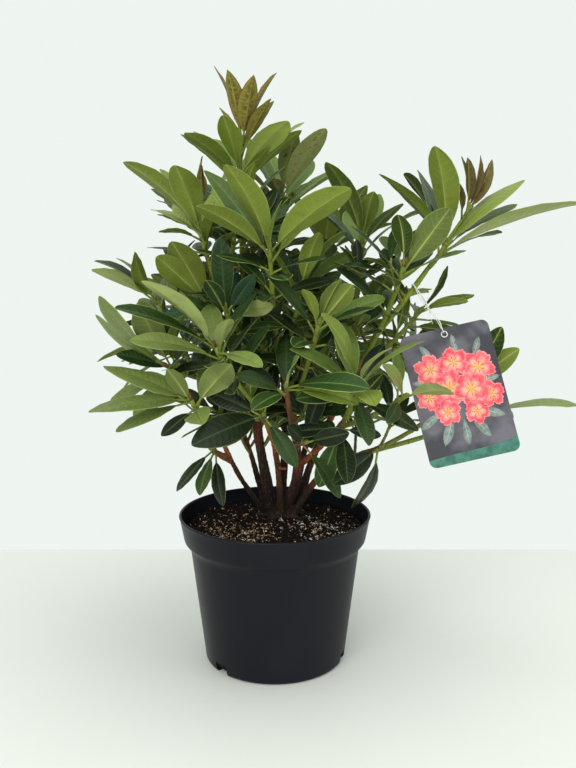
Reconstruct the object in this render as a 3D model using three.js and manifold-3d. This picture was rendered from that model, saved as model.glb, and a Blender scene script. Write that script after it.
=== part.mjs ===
// A young rhododendron, many-stemmed, in its round nursery pot with a hanging picture label.
// Millimetres, +Z up. The origin is on the floor, under the middle of the pot.
// Every stem, bough, leafy shoot and pot part is one closed solid with its own name.

import * as THREE from 'three';
import { mergeVertices } from 'three/addons/utils/BufferGeometryUtils.js';
import Module from 'manifold-3d';

const wasm = await Module();
wasm.setup();

// ---------------------------------------------------------------- driving dimensions

const CLEARANCE = 0.3;                 // gap between two solids that rest on each other
const DEG = Math.PI / 180;
const GOLDEN_ANGLE = 137.5;            // degrees from one leaf to the next up a shoot

const POT = {
  height: 180,
  rimRadius: 115,
  wall: 2,
  floor: 2.5,
  footRadius: 80,                      // flat underside
  heelRadius: 85.3,                    // foot of the sloping wall, above the rounded heel
  heelHeight: 6,
  neckRadius: 101.5,                   // top of the sloping wall, under the collar
  neckHeight: 139,
  collarRadius: 109.5,                 // lower edge of the collar's upright part
  collarFoot: 152,
  sides: 36,
};

const NOTCH = { bearings: [-137, -17, 103], width: 19, height: 13, depth: 12 };

const MIX = { edgeHeight: 161, top: 172, plateau: 30, slope: 62, ripple: 0.8 };

const CROWN = { x: 6, y: 24, radius: 30, height: 14, lobes: 7, lobeDepth: 0.06 };

const STEM_SIDES = 5;
const TWIG_SIDES = 4;
const TWIG = { baseRadius: 3, whorlRadius: 2.6, flushRadius: 2, budLength: 10, budRadius: 1 };

const LEAF = {
  petiole: 16,                         // from the twig's middle to the blade
  petioleRadius: 1.3,
  slenderness: 0.38,                   // blade width for each unit of blade length
  youngSlenderness: 0.3,               // of a young leaf at a shoot's tip
  broadest: 40,                        // no blade is wider
  rootOffset: 0.8,                     // of a petiole's root from the twig's middle
  spacing: 2.6,                        // along the twig, from one leaf of a whorl to the next
  widest: [0.3, 0.68],                 // where along the blade the two widest places are
  fullness: [0.94, 0.84],              // share of the full width at those places
  guard: 1,                            // room kept free on each side of a leaf
};

const LABEL = {
  width: 100,
  height: 150,
  thickness: 1,
  corner: 8,
  holeRadius: 2.6,
  holeDrop: 7,                         // from the top edge down to the hole
  hole: [190, -46, 399],
  lean: 13,                            // degrees, anticlockwise seen from the front
  tilt: 18,                            // degrees, its lower edge forward
};

const TIE = { radius: 0.6, sides: 4, turnSteps: 5, alongBough: 0.72, lowerTurn: 1.8, play: 0.5 };

// Stems rise from the crown. foot is where one leaves the crown, path the places that it
// passes and ends at, radii its foot and tip. stub is a pruned side twig: where along the
// stem it stands, and where it ends.
const STEMS = [
  { name: 'stem_left_low', foot: [-12, 12], path: [[-40, -22, 228], [-58, -50, 276]], radii: [3.3, 2.7],
    stub: { at: 0.72, end: [-72, -46, 266], radius: 2.2 } },
  { name: 'stem_left', foot: [-12, 34], path: [[-39, 22, 272], [-80, -5, 342]], radii: [3.4, 2.8] },
  { name: 'stem_middle_left', foot: [-4, 22], path: [[-22, 3, 290], [-30, 2, 400]], radii: [6.6, 4.4] },
  { name: 'stem_front', foot: [8, 4], path: [[1, -30, 262], [-14, -84, 322]], radii: [3.8, 2.9],
    stub: { at: 0.36, end: [14, -26, 240], radius: 1.8 } },
  { name: 'stem_middle', foot: [14, 14], path: [[27, -16, 258], [3, -30, 392]], radii: [5.8, 3.8] },
  { name: 'stem_right', foot: [26, 21], path: [[54, 2, 268], [118, -20, 398]], radii: [5, 3.6] },
  { name: 'stem_right_low', foot: [22, 6], path: [[60, -20, 236], [126, -32, 268]], radii: [4.2, 3.4],
    stub: { at: 0.42, end: [66, -42, 250], radius: 2 } },
  { name: 'stem_back_left', foot: [-6, 44], path: [[-24, 72, 262], [-62, 120, 350]], radii: [4.5, 3.2] },
  { name: 'stem_back', foot: [8, 42], path: [[12, 66, 290], [0, 78, 430]], radii: [5, 3.3] },
  { name: 'stem_back_right', foot: [21, 38], path: [[44, 72, 262], [92, 118, 362]], radii: [4.5, 3.2] },
];

// Boughs fork from a stem. at is the share of the stem's length below the fork.
const BOUGHS = [
  { name: 'bough_top', parent: 'stem_middle_left', at: 1, path: [[-36, 6, 450], [-38, 8, 508]],
    radii: [4, 3.2] },
  { name: 'bough_upper_left', parent: 'stem_middle_left', at: 0.88,
    path: [[-48, -8, 412], [-68, -18, 462]], radii: [3.5, 3] },
  { name: 'bough_front_right', parent: 'stem_middle', at: 0.4, path: [[56, -38, 272], [77, -60, 302]],
    radii: [3.7, 3] },
  { name: 'bough_upper_right', parent: 'stem_right', at: 0.74, path: [[88, 10, 385], [97, 10, 440]],
    radii: [3.3, 2.9] },
  { name: 'bough_far_right', parent: 'stem_right', at: 1, path: [[146, -28, 434], [174, -24, 472]],
    radii: [3.5, 3] },
];

// Leafy shoots. bough and at say what carries a shoot and where; whorl is where its leaves
// stand. leads are its leading leaves as [bearing, lift, length, roll]: degrees from +X
// towards +Y, degrees above level, and, where given, degrees turned about the leaf's own
// length. Golden-angle leaves fill up to count, each of about length, rising lift degrees
// from square to the shoot. flush is a young, narrow-leaved tip above the whorl: how far it
// stands from it, and its own leaves.
const SHOOTS = [
  { name: 'shoot_crown_top', bough: 'bough_top', at: 1, whorl: [-40, 10, 578], count: 9, length: 100,
    lift: 44, turn: 10, leads: [[-101, 39, 88], [-53, 29, 105], [-124, 24, 102], [122, 34, 100]],
    flush: { rise: [4, 0, 36], count: 7, length: 70, lift: 58, turn: 40, leads: [[167, 69, 90],
    [-108, 60, 85], [-71, 56, 84], [0, 65, 92], [8, 57, 67, -45], [168, 64, 57, 50]] } },
  { name: 'shoot_front_high', bough: 'stem_middle', at: 1, whorl: [-4, -70, 492], count: 7, length: 108,
    lift: 44, turn: 20, leads: [[-116, 42, 122], [-47, 28, 131, -30], [-135, 26, 110, 28], [150, 46, 105],
    [-167, 53, 115, -30], [-73, 56, 76, 40]] },
  { name: 'shoot_left_high', bough: 'bough_upper_left', at: 1, whorl: [-82, -22, 512], count: 9,
    length: 102, lift: 42, turn: 60, leads: [[-141, 37, 118], [-102, 39, 108], [147, 23, 80],
    [165, 58, 92], [-141, 10, 57]] },
  { name: 'shoot_back_high', bough: 'stem_back', at: 1, whorl: [8, 66, 556], count: 9, length: 100,
    lift: 46, turn: 140, leads: [[-87, 54, 92], [-50, 44, 108], [-100, 18, 70]] },
  { name: 'shoot_inner_left', bough: 'bough_upper_left', at: 0.72, whorl: [-44, -16, 518], count: 7,
    length: 92, lift: 44, turn: 0, leads: [[-126, 46, 78], [-88, 22, 80]] },
  { name: 'shoot_far_right', bough: 'bough_far_right', at: 1, whorl: [194, -20, 500], count: 8,
    length: 104, lift: 36, turn: 15, leads: [[-113, 58, 117, -4], [-160, 42, 112], [123, 50, 111, 8],
    [9, 40, 121, 8], [13, 31, 104, -14], [-26, 19, 162, 21], [20, 18, 84], [117, 66, 109, -6]],
    flush: { rise: [26, 10, 36], count: 8, length: 60, lift: 62, turn: 30, leads: [[-180, 81, 60],
    [-107, 80, 60, 10], [0, 77, 66, -10], [0, 63, 69, -20], [-21, 61, 57, -20], [-123, 62, 50]] } },
  { name: 'shoot_right_high', bough: 'bough_upper_right', at: 1, whorl: [102, 10, 500], count: 8,
    length: 98, lift: 40, turn: 45, leads: [[-123, 46, 118, -22], [-80, 52, 74], [59, 54, 78],
    [-58, 35, 87, 28]] },
  { name: 'shoot_right_middle', bough: 'stem_right', at: 0.88, whorl: [143, -48, 474], count: 7,
    length: 80, lift: 38, turn: 80, leads: [[-105, 47, 74], [106, 30, 72], [60, 40, 74],
    [-57, 43, 99, -30]] },
  { name: 'shoot_right_side', bough: 'stem_right', at: 0.84, whorl: [170, 12, 420], count: 7, length: 88,
    lift: 24, turn: 100, leads: [[-36, 18, 72, 22], [-53, 14, 78, 28], [-32, 57, 69, -60]] },
  { name: 'shoot_front_middle', bough: 'stem_middle', at: 0.72, whorl: [48, -92, 414], count: 7,
    length: 80, lift: 34, turn: 20, leads: [[-63, 48, 66], [-51, 42, 69, -60], [-111, 46, 61, 20],
    [-28, 22, 70]] },
  { name: 'shoot_front_right', bough: 'bough_front_right', at: 1, whorl: [88, -108, 352], count: 6,
    length: 88, lift: 32, turn: 0, leads: [[-133, 54, 96], [-59, 39, 74], [-150, 30, 92],
    [-8, 37, 88, -36]] },
  { name: 'shoot_label_side', bough: 'bough_front_right', at: 0.88, whorl: [138, -98, 336], count: 4,
    length: 78, lift: 18, turn: 30, leads: [[-131, 51, 74, -20], [-56, 13, 80], [-112, -18, 50],
    [70, 36, 74]] },
  { name: 'shoot_front_hanging', bough: 'bough_front_right', at: 0.74, whorl: [74, -84, 302], count: 4,
    length: 88, lift: -14, turn: 200, leads: [[-87, -38, 76], [157, -70, 74], [-175, -4, 60],
    [15, 5, 50]] },
  { name: 'shoot_right_low', bough: 'stem_right_low', at: 1, whorl: [224, 6, 328], count: 7, length: 90,
    lift: 34, turn: 60, leads: [[-14, 61, 86], [5, 37, 84, -30], [60, 36, 92], [120, 24, 90],
    [176, 30, 88], [-140, 40, 84], [-80, 44, 60]] },
  { name: 'shoot_right_lower', bough: 'stem_right_low', at: 0.88, whorl: [244, -12, 302], count: 5,
    length: 80, lift: 20, turn: 10, leads: [[0, 6, 112, 15], [50, -6, 84], [104, 2, 86], [158, 16, 80],
    [-70, 24, 54]] },
  { name: 'shoot_middle_high', bough: 'stem_middle', at: 0.9, whorl: [30, -22, 446], count: 7, length: 86,
    lift: 48, turn: 25, leads: [[-70, 50, 84], [-20, 52, 88]] },
  { name: 'shoot_low_centre', bough: 'stem_front', at: 0.55, whorl: [34, -84, 284], count: 4, length: 70,
    lift: 20, turn: 25, leads: [[-40, 18, 62], [-110, 30, 56]] },
  { name: 'shoot_left_front', bough: 'stem_front', at: 1, whorl: [-60, -112, 392], count: 8, length: 92,
    lift: 34, turn: 40, leads: [[-128, 36, 122, -15], [-144, 23, 122, -15], [-48, 46, 52], [-51, -5, 75],
    [-73, 42, 63, -10]] },
  { name: 'shoot_centre_front', bough: 'stem_middle', at: 0.5, whorl: [14, -118, 350], count: 7,
    length: 80, lift: 16, turn: 90, leads: [[-36, 5, 100], [-20, -8, 78], [-72, 48, 56], [-121, -6, 66],
    [-160, 24, 60]] },
  { name: 'shoot_shade_leaf', bough: 'stem_front', at: 0.86, whorl: [-10, -104, 318], count: 4,
    length: 74, lift: -6, turn: 250, leads: [[-134, -9, 100]] },
  { name: 'shoot_left_lower', bough: 'stem_left_low', at: 1, whorl: [-88, -98, 334], count: 9, length: 96,
    lift: 24, turn: 15, leads: [[-143, 0, 116], [-145, -14, 90, 6], [170, 21, 106, 14],
    [-120, 46, 62, 30], [-54, 36, 92, -75], [-136, -27, 50, -50]] },
  { name: 'shoot_left_hanging', bough: 'stem_left_low', at: 0.8, whorl: [-68, -60, 270], count: 4,
    length: 62, lift: -24, turn: 120, leads: [[-130, -32, 66], [-104, -36, 62], [-76, -48, 66]] },
  { name: 'shoot_left_middle', bough: 'stem_left', at: 1, whorl: [-120, -40, 362], count: 9, length: 92,
    lift: 34, turn: 70, leads: [[-142, 45, 115, -14], [-173, 37, 100, -60], [-108, 45, 111, -75],
    [159, 36, 103, -60], [-73, 50, 86, -45], [-162, 18, 70]] },
  { name: 'shoot_left_upper', bough: 'stem_left', at: 0.86, whorl: [-136, -8, 434], count: 6, length: 90,
    lift: 34, turn: 100, leads: [[-139, 31, 90, -55], [-164, 28, 82, 25], [-109, 49, 80, 35],
    [150, 42, 84, 30]] },
  { name: 'shoot_left_inner', bough: 'stem_left', at: 0.72, whorl: [-76, 2, 430], count: 9, length: 92,
    lift: 40, turn: 140, leads: [[-130, 35, 96, 36], [-120, 47, 101, 10], [158, 46, 96, -20],
    [-85, 30, 62]] },
  { name: 'shoot_middle_inner', bough: 'stem_middle_left', at: 0.7, whorl: [-52, -58, 424], count: 7,
    length: 80, lift: 36, turn: 180, leads: [[-44, 42, 60, 70], [-109, 37, 66, 20], [-105, 77, 88, 30],
    [-39, 16, 66, -75]] },
  { name: 'shoot_back_left_high', bough: 'stem_back', at: 0.86, whorl: [-78, 62, 520], count: 8,
    length: 96, lift: 42, turn: 30, leads: [], flush: { rise: [-10, 4, 36], count: 5, length: 48,
    lift: 62, turn: 20, leads: [] } },
  { name: 'shoot_back_middle', bough: 'stem_back', at: 0.94, whorl: [-24, 142, 506], count: 8,
    length: 104, lift: 38, turn: 75, leads: [] },
  { name: 'shoot_back_right_high', bough: 'stem_back', at: 0.78, whorl: [66, 120, 500], count: 8,
    length: 102, lift: 38, turn: 20, leads: [] },
  { name: 'shoot_back_left', bough: 'stem_back_left', at: 1, whorl: [-104, 150, 424], count: 8,
    length: 102, lift: 32, turn: 50, leads: [] },
  { name: 'shoot_back_left_side', bough: 'stem_back_left', at: 0.84, whorl: [-134, 84, 372], count: 7,
    length: 98, lift: 26, turn: 95, leads: [] },
  { name: 'shoot_back_left_low', bough: 'stem_back_left', at: 0.92, whorl: [-52, 182, 352], count: 6,
    length: 96, lift: 16, turn: 10, leads: [] },
  { name: 'shoot_back_centre', bough: 'stem_back', at: 0.6, whorl: [14, 176, 420], count: 7, length: 98,
    lift: 26, turn: 5, leads: [] },
  { name: 'shoot_back_right', bough: 'stem_back_right', at: 1, whorl: [124, 150, 424], count: 8,
    length: 102, lift: 32, turn: 35, leads: [] },
  { name: 'shoot_back_right_side', bough: 'stem_back_right', at: 0.84, whorl: [166, 96, 362], count: 7,
    length: 100, lift: 24, turn: 110, leads: [] },
  { name: 'shoot_back_right_low', bough: 'stem_back_right', at: 0.92, whorl: [84, 184, 350], count: 6,
    length: 96, lift: 14, turn: 80, leads: [] },
  { name: 'shoot_low_right', bough: 'stem_right_low', at: 0.62, whorl: [118, -56, 272], count: 2,
    length: 70, lift: -20, turn: 200, leads: [[-132, -18, 85, 10], [130, -63, 88, 25]] },
];

// ---------------------------------------------------------------- materials

const FINISH = {
  pot: { color: 0x17181a, roughness: 0.42, metalness: 0 },
  mix: { color: 0x2e2118, roughness: 1, metalness: 0 },
  bark: { color: 0x5a3226, roughness: 0.9, metalness: 0 },
  foliage: { color: 0x52732f, roughness: 0.5, metalness: 0 },
  flush: { color: 0x6b6a3a, roughness: 0.55, metalness: 0 },
  label: { color: 0x8c8f9a, roughness: 0.3, metalness: 0 },
  tie: { color: 0xf2f2ee, roughness: 0.5, metalness: 0 },
};

// ---------------------------------------------------------------- meshes and solids

// A body here is { vertices: Vector3[], faces: [a, b, c][] }, closed, with its faces out.

function solidOf(body) {
  const vertProperties = new Float32Array(body.vertices.flatMap((v) => [v.x, v.y, v.z]));
  const triVerts = new Uint32Array(body.faces.flat());
  return new wasm.Manifold(new wasm.Mesh({ numProp: 3, vertProperties, triVerts }));
}

function bodyOfGeometry(geometry) {
  const bare = geometry.clone();
  bare.deleteAttribute('normal');
  bare.deleteAttribute('uv');
  const merged = mergeVertices(bare, 1e-4);
  const place = merged.getAttribute('position');
  const index = merged.getIndex();
  const vertices = [];
  for (let i = 0; i < place.count; i += 1) {
    vertices.push(new THREE.Vector3().fromBufferAttribute(place, i));
  }
  const faces = [];
  for (let i = 0; i < index.count; i += 3) {
    const face = [index.getX(i), index.getX(i + 1), index.getX(i + 2)];
    if (new Set(face).size === 3) faces.push(face);
  }
  return { vertices, faces };
}

function meshOf(name, solid, finish) {
  const mesh = solid.getMesh();
  const geometry = new THREE.BufferGeometry();
  geometry.setAttribute('position', new THREE.Float32BufferAttribute(mesh.vertProperties, 3));
  geometry.setIndex(Array.from(mesh.triVerts));
  geometry.computeVertexNormals();
  const object = new THREE.Mesh(geometry, new THREE.MeshStandardMaterial({ ...finish, flatShading: true }));
  object.name = name;
  return object;
}

// A cut can leave a crumb beside the piece that was wanted: only the largest part is kept.
function largest(solid) {
  const parts = solid.decompose();
  return parts.reduce((best, part) => (part.volume() > best.volume() ? part : best));
}

function vector(place) {
  return new THREE.Vector3(place[0], place[1], place[2]);
}

function squareTo(direction) {
  const guide = Math.abs(direction.z) < 0.9 ? new THREE.Vector3(0, 0, 1) : new THREE.Vector3(1, 0, 0);
  return guide.addScaledVector(direction, -guide.dot(direction)).normalize();
}

// Rings of vertices joined in turn, closed by flat caps, or by a point at the far end.
function joinRings(rings, tip) {
  const sides = rings[0].length;
  const vertices = rings.flat();
  const faces = [];
  for (let j = 1; j < sides - 1; j += 1) faces.push([0, j + 1, j]);
  for (let i = 0; i < rings.length - 1; i += 1) {
    for (let j = 0; j < sides; j += 1) {
      const k = (j + 1) % sides;
      const low = i * sides;
      const high = low + sides;
      faces.push([low + j, low + k, high + k], [low + j, high + k, high + j]);
    }
  }
  const last = (rings.length - 1) * sides;
  if (tip) {
    vertices.push(tip);
    for (let j = 0; j < sides; j += 1) faces.push([last + j, last + ((j + 1) % sides), vertices.length - 1]);
  } else {
    for (let j = 1; j < sides - 1; j += 1) faces.push([last, last + j, last + j + 1]);
  }
  return { vertices, faces };
}

// A tapering round limb through centres. grow makes it that much larger all over.
function tube(centres, radii, sides, grow = 0) {
  const last = centres.length - 1;
  let side = null;
  const rings = centres.map((centre, i) => {
    const before = centres[Math.max(i - 1, 0)];
    const after = centres[Math.min(i + 1, last)];
    const along = after.clone().sub(before).normalize();
    side = side ? side.addScaledVector(along, -side.dot(along)).normalize() : squareTo(along);
    const other = along.clone().cross(side);
    const middle = centre.clone();
    if (i === 0) middle.addScaledVector(along, -grow);
    if (i === last) middle.addScaledVector(along, grow);
    const radius = radii[i] + grow;
    const ring = [];
    for (let j = 0; j < sides; j += 1) {
      const turn = (2 * Math.PI * j) / sides;
      ring.push(middle.clone().addScaledVector(side, radius * Math.cos(turn))
        .addScaledVector(other, radius * Math.sin(turn)));
    }
    side = side.clone();
    return ring;
  });
  return joinRings(rings, null);
}

// ---------------------------------------------------------------- pot, mix and crown

function lathe(profile, sides) {
  const geometry = new THREE.LatheGeometry(profile.map(([r, z]) => new THREE.Vector2(r, z)), sides);
  geometry.rotateX(Math.PI / 2);
  return geometry;
}

function potOutside() {
  const { footRadius, heelRadius, heelHeight, neckRadius, neckHeight, collarRadius, collarFoot } = POT;
  const bulge = collarRadius - neckRadius;
  return [
    [0, 0], [footRadius, 0], [heelRadius - 1.6, 1.6], [heelRadius, heelHeight],
    [neckRadius, neckHeight], [neckRadius + 0.6 * bulge, neckHeight + 4.4],
    [collarRadius, collarFoot], [POT.rimRadius - 1, POT.height - 4], [POT.rimRadius, POT.height - 2.5],
    [POT.rimRadius - 0.4, POT.height],
  ];
}

// The wall's inner side, from the rim down to the floor, drawn in by inset from the outside.
function potInside(inset) {
  const { footRadius, heelRadius, heelHeight, neckRadius, neckHeight, collarRadius, collarFoot } = POT;
  const bulge = collarRadius - neckRadius;
  return [
    [POT.rimRadius - 1 - inset, POT.height - 4],
    [collarRadius - inset, collarFoot + 0.6],
    [neckRadius + 0.5 * bulge - inset, neckHeight + 5.4],
    [neckRadius - inset, neckHeight + 1],
    [heelRadius - inset, heelHeight + 1],
    [footRadius - inset, POT.floor + inset - POT.wall],
    [0, POT.floor + inset - POT.wall],
  ];
}

function makePot() {
  const lip = [[POT.rimRadius - 2.6, POT.height]];
  const body = bodyOfGeometry(lathe([...potOutside(), ...lip, ...potInside(POT.wall)], POT.sides));
  let pot = solidOf(body);
  for (const bearing of NOTCH.bearings) {
    const cutter = new THREE.BoxGeometry(2 * NOTCH.depth, NOTCH.width, 2 * NOTCH.height);
    cutter.translate(POT.heelRadius, 0, 0);
    cutter.rotateZ(bearing * DEG);
    pot = pot.subtract(solidOf(bodyOfGeometry(cutter)));
  }
  return pot;
}

function mixHeight(x, y) {
  const away = Math.hypot(x - CROWN.x, y - CROWN.y);
  const fall = THREE.MathUtils.clamp((away - MIX.plateau) / MIX.slope, 0, 1);
  const ripple = MIX.ripple * fall * (Math.sin(x / 7) + Math.cos(y / 9 + x / 21));
  return MIX.top - (MIX.top - MIX.edgeHeight) * (1 - (1 - fall) ** 2) * 0.8 - Math.abs(ripple);
}

function makeMix() {
  const inside = potInside(POT.wall + CLEARANCE).slice(1).reverse();
  const edge = inside[inside.length - 1][0] + 1.4;
  const rings = [1, 0.86, 0.64, 0.4].map((share) => [edge * share, MIX.edgeHeight]);
  const body = bodyOfGeometry(lathe([...inside, ...rings, [0, MIX.edgeHeight]], POT.sides));
  for (const v of body.vertices) {
    if (v.z === MIX.edgeHeight && Math.hypot(v.x, v.y) < edge - 1) v.z = mixHeight(v.x, v.y);
  }
  return solidOf(body);
}

// The woody crown stands flat on the mix, and each stem's foot swells a lobe of it.
function makeCrown(grow = 0) {
  const { radius, height } = CROWN;
  const profile = [[0, 0], [radius, 0], [0.93 * radius, 0.3 * height], [0.72 * radius, 0.66 * height],
    [0.4 * radius, 0.9 * height], [0, height]];
  const geometry = lathe(profile.map(([r, z]) => [r > 0 ? r + grow : 0, z > 0 ? z + grow : -grow]), 21);
  const body = bodyOfGeometry(geometry);
  for (const v of body.vertices) {
    const swell = 1 + CROWN.lobeDepth * Math.cos(CROWN.lobes * Math.atan2(v.y, v.x));
    v.set(v.x * swell + CROWN.x, v.y * swell + CROWN.y, v.z + MIX.top + CLEARANCE);
  }
  return body;
}

// ---------------------------------------------------------------- stems and boughs

function limbCurve(start, path) {
  return new THREE.CatmullRomCurve3([start, ...path.map(vector)], false, 'catmullrom', 0.5);
}

function limbOf(spec, start) {
  const curve = limbCurve(start, spec.path);
  const steps = 3 * spec.path.length;
  const centres = [];
  const radii = [];
  for (let i = 0; i <= steps; i += 1) {
    centres.push(curve.getPoint(i / steps));
    radii.push(THREE.MathUtils.lerp(spec.radii[0], spec.radii[1], i / steps));
  }
  return { ...spec, curve, centres, limbRadii: radii };
}

function limbBody(limb, grow = 0) {
  return tube(limb.centres, limb.limbRadii, STEM_SIDES, grow);
}

function stubBody(limb) {
  const start = limb.curve.getPoint(limb.stub.at);
  const end = vector(limb.stub.end);
  const middle = start.clone().lerp(end, 0.5);
  const radius = limb.stub.radius;
  return tube([start, middle, end], [radius * 1.1, radius, radius * 0.9], TWIG_SIDES);
}

function limbSolid(limb, seat) {
  let solid = solidOf(limbBody(limb));
  if (limb.stub) solid = solid.add(solidOf(stubBody(limb)));
  return largest(solid.subtract(solidOf(seat)));
}

// ---------------------------------------------------------------- leaves

// The same numbers every time for the same seed.
function randomSource(seed) {
  let state = seed % 2147483647;
  const next = () => {
    state = (state * 48271) % 2147483647;
    return state / 2147483647;
  };
  next();
  next();
  return next;
}

// A leaf is { root, along, up, chord, petiole, width, bend, fold }: it runs from root to a
// tip at chord along its direction, arched by bend degrees, its halves folded up by fold.
// Its section is three-cornered: the two margins above, and the midrib's keel below.
function leafBody(leaf, grow = 0) {
  const across = leaf.along.clone().cross(leaf.up);
  const bend = leaf.bend * DEG;
  const arch = leaf.chord / (2 * Math.sin(bend / 2));
  const blade = 1 - leaf.petiole / leaf.chord;
  const rib = LEAF.petioleRadius;
  const stations = [
    [0, rib],
    [1 - blade, rib],
    [1 - blade + blade * LEAF.widest[0], (leaf.width / 2) * LEAF.fullness[0]],
    [1 - blade + blade * LEAF.widest[1], (leaf.width / 2) * LEAF.fullness[1]],
  ];
  const arc = (share) => {
    const turn = bend * (share - 0.5);
    const forward = leaf.chord / 2 + arch * Math.sin(turn);
    const rise = arch * (Math.cos(turn) - Math.cos(bend / 2));
    const centre = leaf.root.clone().addScaledVector(leaf.along, forward).addScaledVector(leaf.up, rise);
    const up = leaf.up.clone().multiplyScalar(Math.cos(turn)).addScaledVector(leaf.along, Math.sin(turn));
    return { centre, up };
  };
  const rings = stations.map(([share, half]) => {
    const { centre, up } = arc(share);
    const fold = Math.sin(leaf.fold * DEG) * (half - rib);
    const reach = half + grow;
    return [
      centre.clone().addScaledVector(across, reach).addScaledVector(up, fold + 0.6 * rib + grow),
      centre.clone().addScaledVector(up, -rib - grow),
      centre.clone().addScaledVector(across, -reach).addScaledVector(up, fold + 0.6 * rib + grow),
    ];
  });
  const tip = arc(1).centre.addScaledVector(leaf.along, grow);
  return joinRings(rings, tip);
}

// ---------------------------------------------------------------- room for each leaf

function obstacleOf(body, owner, whorl = null) {
  const edges = new Map();
  for (const face of body.faces) {
    for (let i = 0; i < 3; i += 1) {
      const a = face[i];
      const b = face[(i + 1) % 3];
      edges.set(Math.min(a, b) * 100000 + Math.max(a, b), [a, b]);
    }
  }
  const box = new THREE.Box3().setFromPoints(body.vertices);
  return { ...body, edges: [...edges.values()], box, owner, whorl };
}

function edgeMeetsFace(p, q, a, b, c) {
  const ray = q.clone().sub(p);
  const ab = b.clone().sub(a);
  const ac = c.clone().sub(a);
  const square = ray.clone().cross(ac);
  const size = ab.dot(square);
  if (Math.abs(size) < 1e-12) return false;
  const from = p.clone().sub(a);
  const u = from.dot(square) / size;
  if (u < 0 || u > 1) return false;
  const turned = from.cross(ab);
  const v = ray.dot(turned) / size;
  if (v < 0 || u + v > 1) return false;
  const t = ac.dot(turned) / size;
  return t >= 0 && t <= 1;
}

function edgesMeetFaces(one, other) {
  const reach = other.box;
  for (const [i, j] of one.edges) {
    const p = one.vertices[i];
    const q = one.vertices[j];
    const span = new THREE.Box3().setFromPoints([p, q]);
    if (!span.intersectsBox(reach)) continue;
    for (const [a, b, c] of other.faces) {
      if (edgeMeetsFace(p, q, other.vertices[a], other.vertices[b], other.vertices[c])) return true;
    }
  }
  return false;
}

function bodiesMeet(one, other) {
  if (!one.box.intersectsBox(other.box)) return false;
  return edgesMeetFaces(one, other) || edgesMeetFaces(other, one);
}

// ---------------------------------------------------------------- shoots

// A shoot's twig leaves its bough and rises to its whorl, then ends in a bud or a flush.
function twigOf(spec, limbs) {
  const limb = limbs.get(spec.bough);
  const start = limb.curve.getPoint(spec.at);
  const whorl = vector(spec.whorl);
  const control = new THREE.Vector3(
    THREE.MathUtils.lerp(start.x, whorl.x, 0.6),
    THREE.MathUtils.lerp(start.y, whorl.y, 0.6),
    THREE.MathUtils.lerp(start.z, whorl.z, 0.4),
  );
  const curve = new THREE.QuadraticBezierCurve3(start, control, whorl);
  const axis = whorl.clone().sub(control).normalize();
  const shares = [0, 0.34, 0.67, 1];
  const centres = shares.map((t) => curve.getPoint(t));
  const radii = shares.map((t) => THREE.MathUtils.lerp(TWIG.baseRadius, TWIG.whorlRadius, t));
  let flushAxis = null;
  if (spec.flush) {
    const rise = vector(spec.flush.rise);
    flushAxis = rise.clone().normalize();
    centres.push(whorl.clone().addScaledVector(rise, 0.5), whorl.clone().add(rise));
    radii.push(TWIG.flushRadius, TWIG.flushRadius);
  } else {
    centres.push(whorl.clone().addScaledVector(axis, TWIG.budLength));
    radii.push(TWIG.budRadius);
  }
  return { limb, whorl, axis, flushAxis, body: tube(centres, radii, TWIG_SIDES) };
}

// Directions round a whorl are measured in the plane square to its axis, from near +X.
function whorlFrame(axis) {
  const east = new THREE.Vector3(1, 0, 0).addScaledVector(axis, -axis.x).normalize();
  return { axis, east, north: axis.clone().cross(east) };
}

function directionIn(frame, bearing, lift) {
  return frame.east.clone().multiplyScalar(Math.cos(bearing * DEG) * Math.cos(lift * DEG))
    .addScaledVector(frame.north, Math.sin(bearing * DEG) * Math.cos(lift * DEG))
    .addScaledVector(frame.axis, Math.sin(lift * DEG));
}

function bearingIn(frame, direction) {
  return Math.atan2(direction.dot(frame.north), direction.dot(frame.east)) / DEG;
}

function bearingGap(a, b) {
  const turn = Math.abs(a - b) % 360;
  return Math.min(turn, 360 - turn);
}

// One leaf of a whorl, turned and shortened a little on each later try for room.
function leafAt(whorl, rank, direction, length, random, attempt) {
  const swing = [0, 9, -9, 18, -18, 6, -6][attempt] * DEG;
  const nudge = [0, 0, 0, 0, 0, 14, -14][attempt] * DEG;
  const { axis } = whorl.frame;
  const along = direction.clone().applyAxisAngle(axis, swing);
  const hinge = along.clone().cross(axis).normalize();
  along.applyAxisAngle(hinge, nudge).normalize();
  const up = axis.clone().addScaledVector(along, -axis.dot(along)).normalize();
  up.applyAxisAngle(along, random.roll * DEG);
  const chord = length * (attempt > 2 ? 0.92 : 1);
  const petiole = Math.min(LEAF.petiole, 0.2 * chord);
  const outward = along.clone().addScaledVector(axis, -along.dot(axis)).normalize();
  const root = whorl.place.clone().addScaledVector(axis, -LEAF.spacing * rank);
  return {
    root: root.addScaledVector(outward, LEAF.rootOffset),
    along,
    up,
    chord,
    petiole,
    width: Math.min((chord - petiole) * whorl.slenderness * random.breadth, LEAF.broadest),
    bend: random.bend,
    fold: random.fold,
  };
}

const ATTEMPTS = 7;

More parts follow.
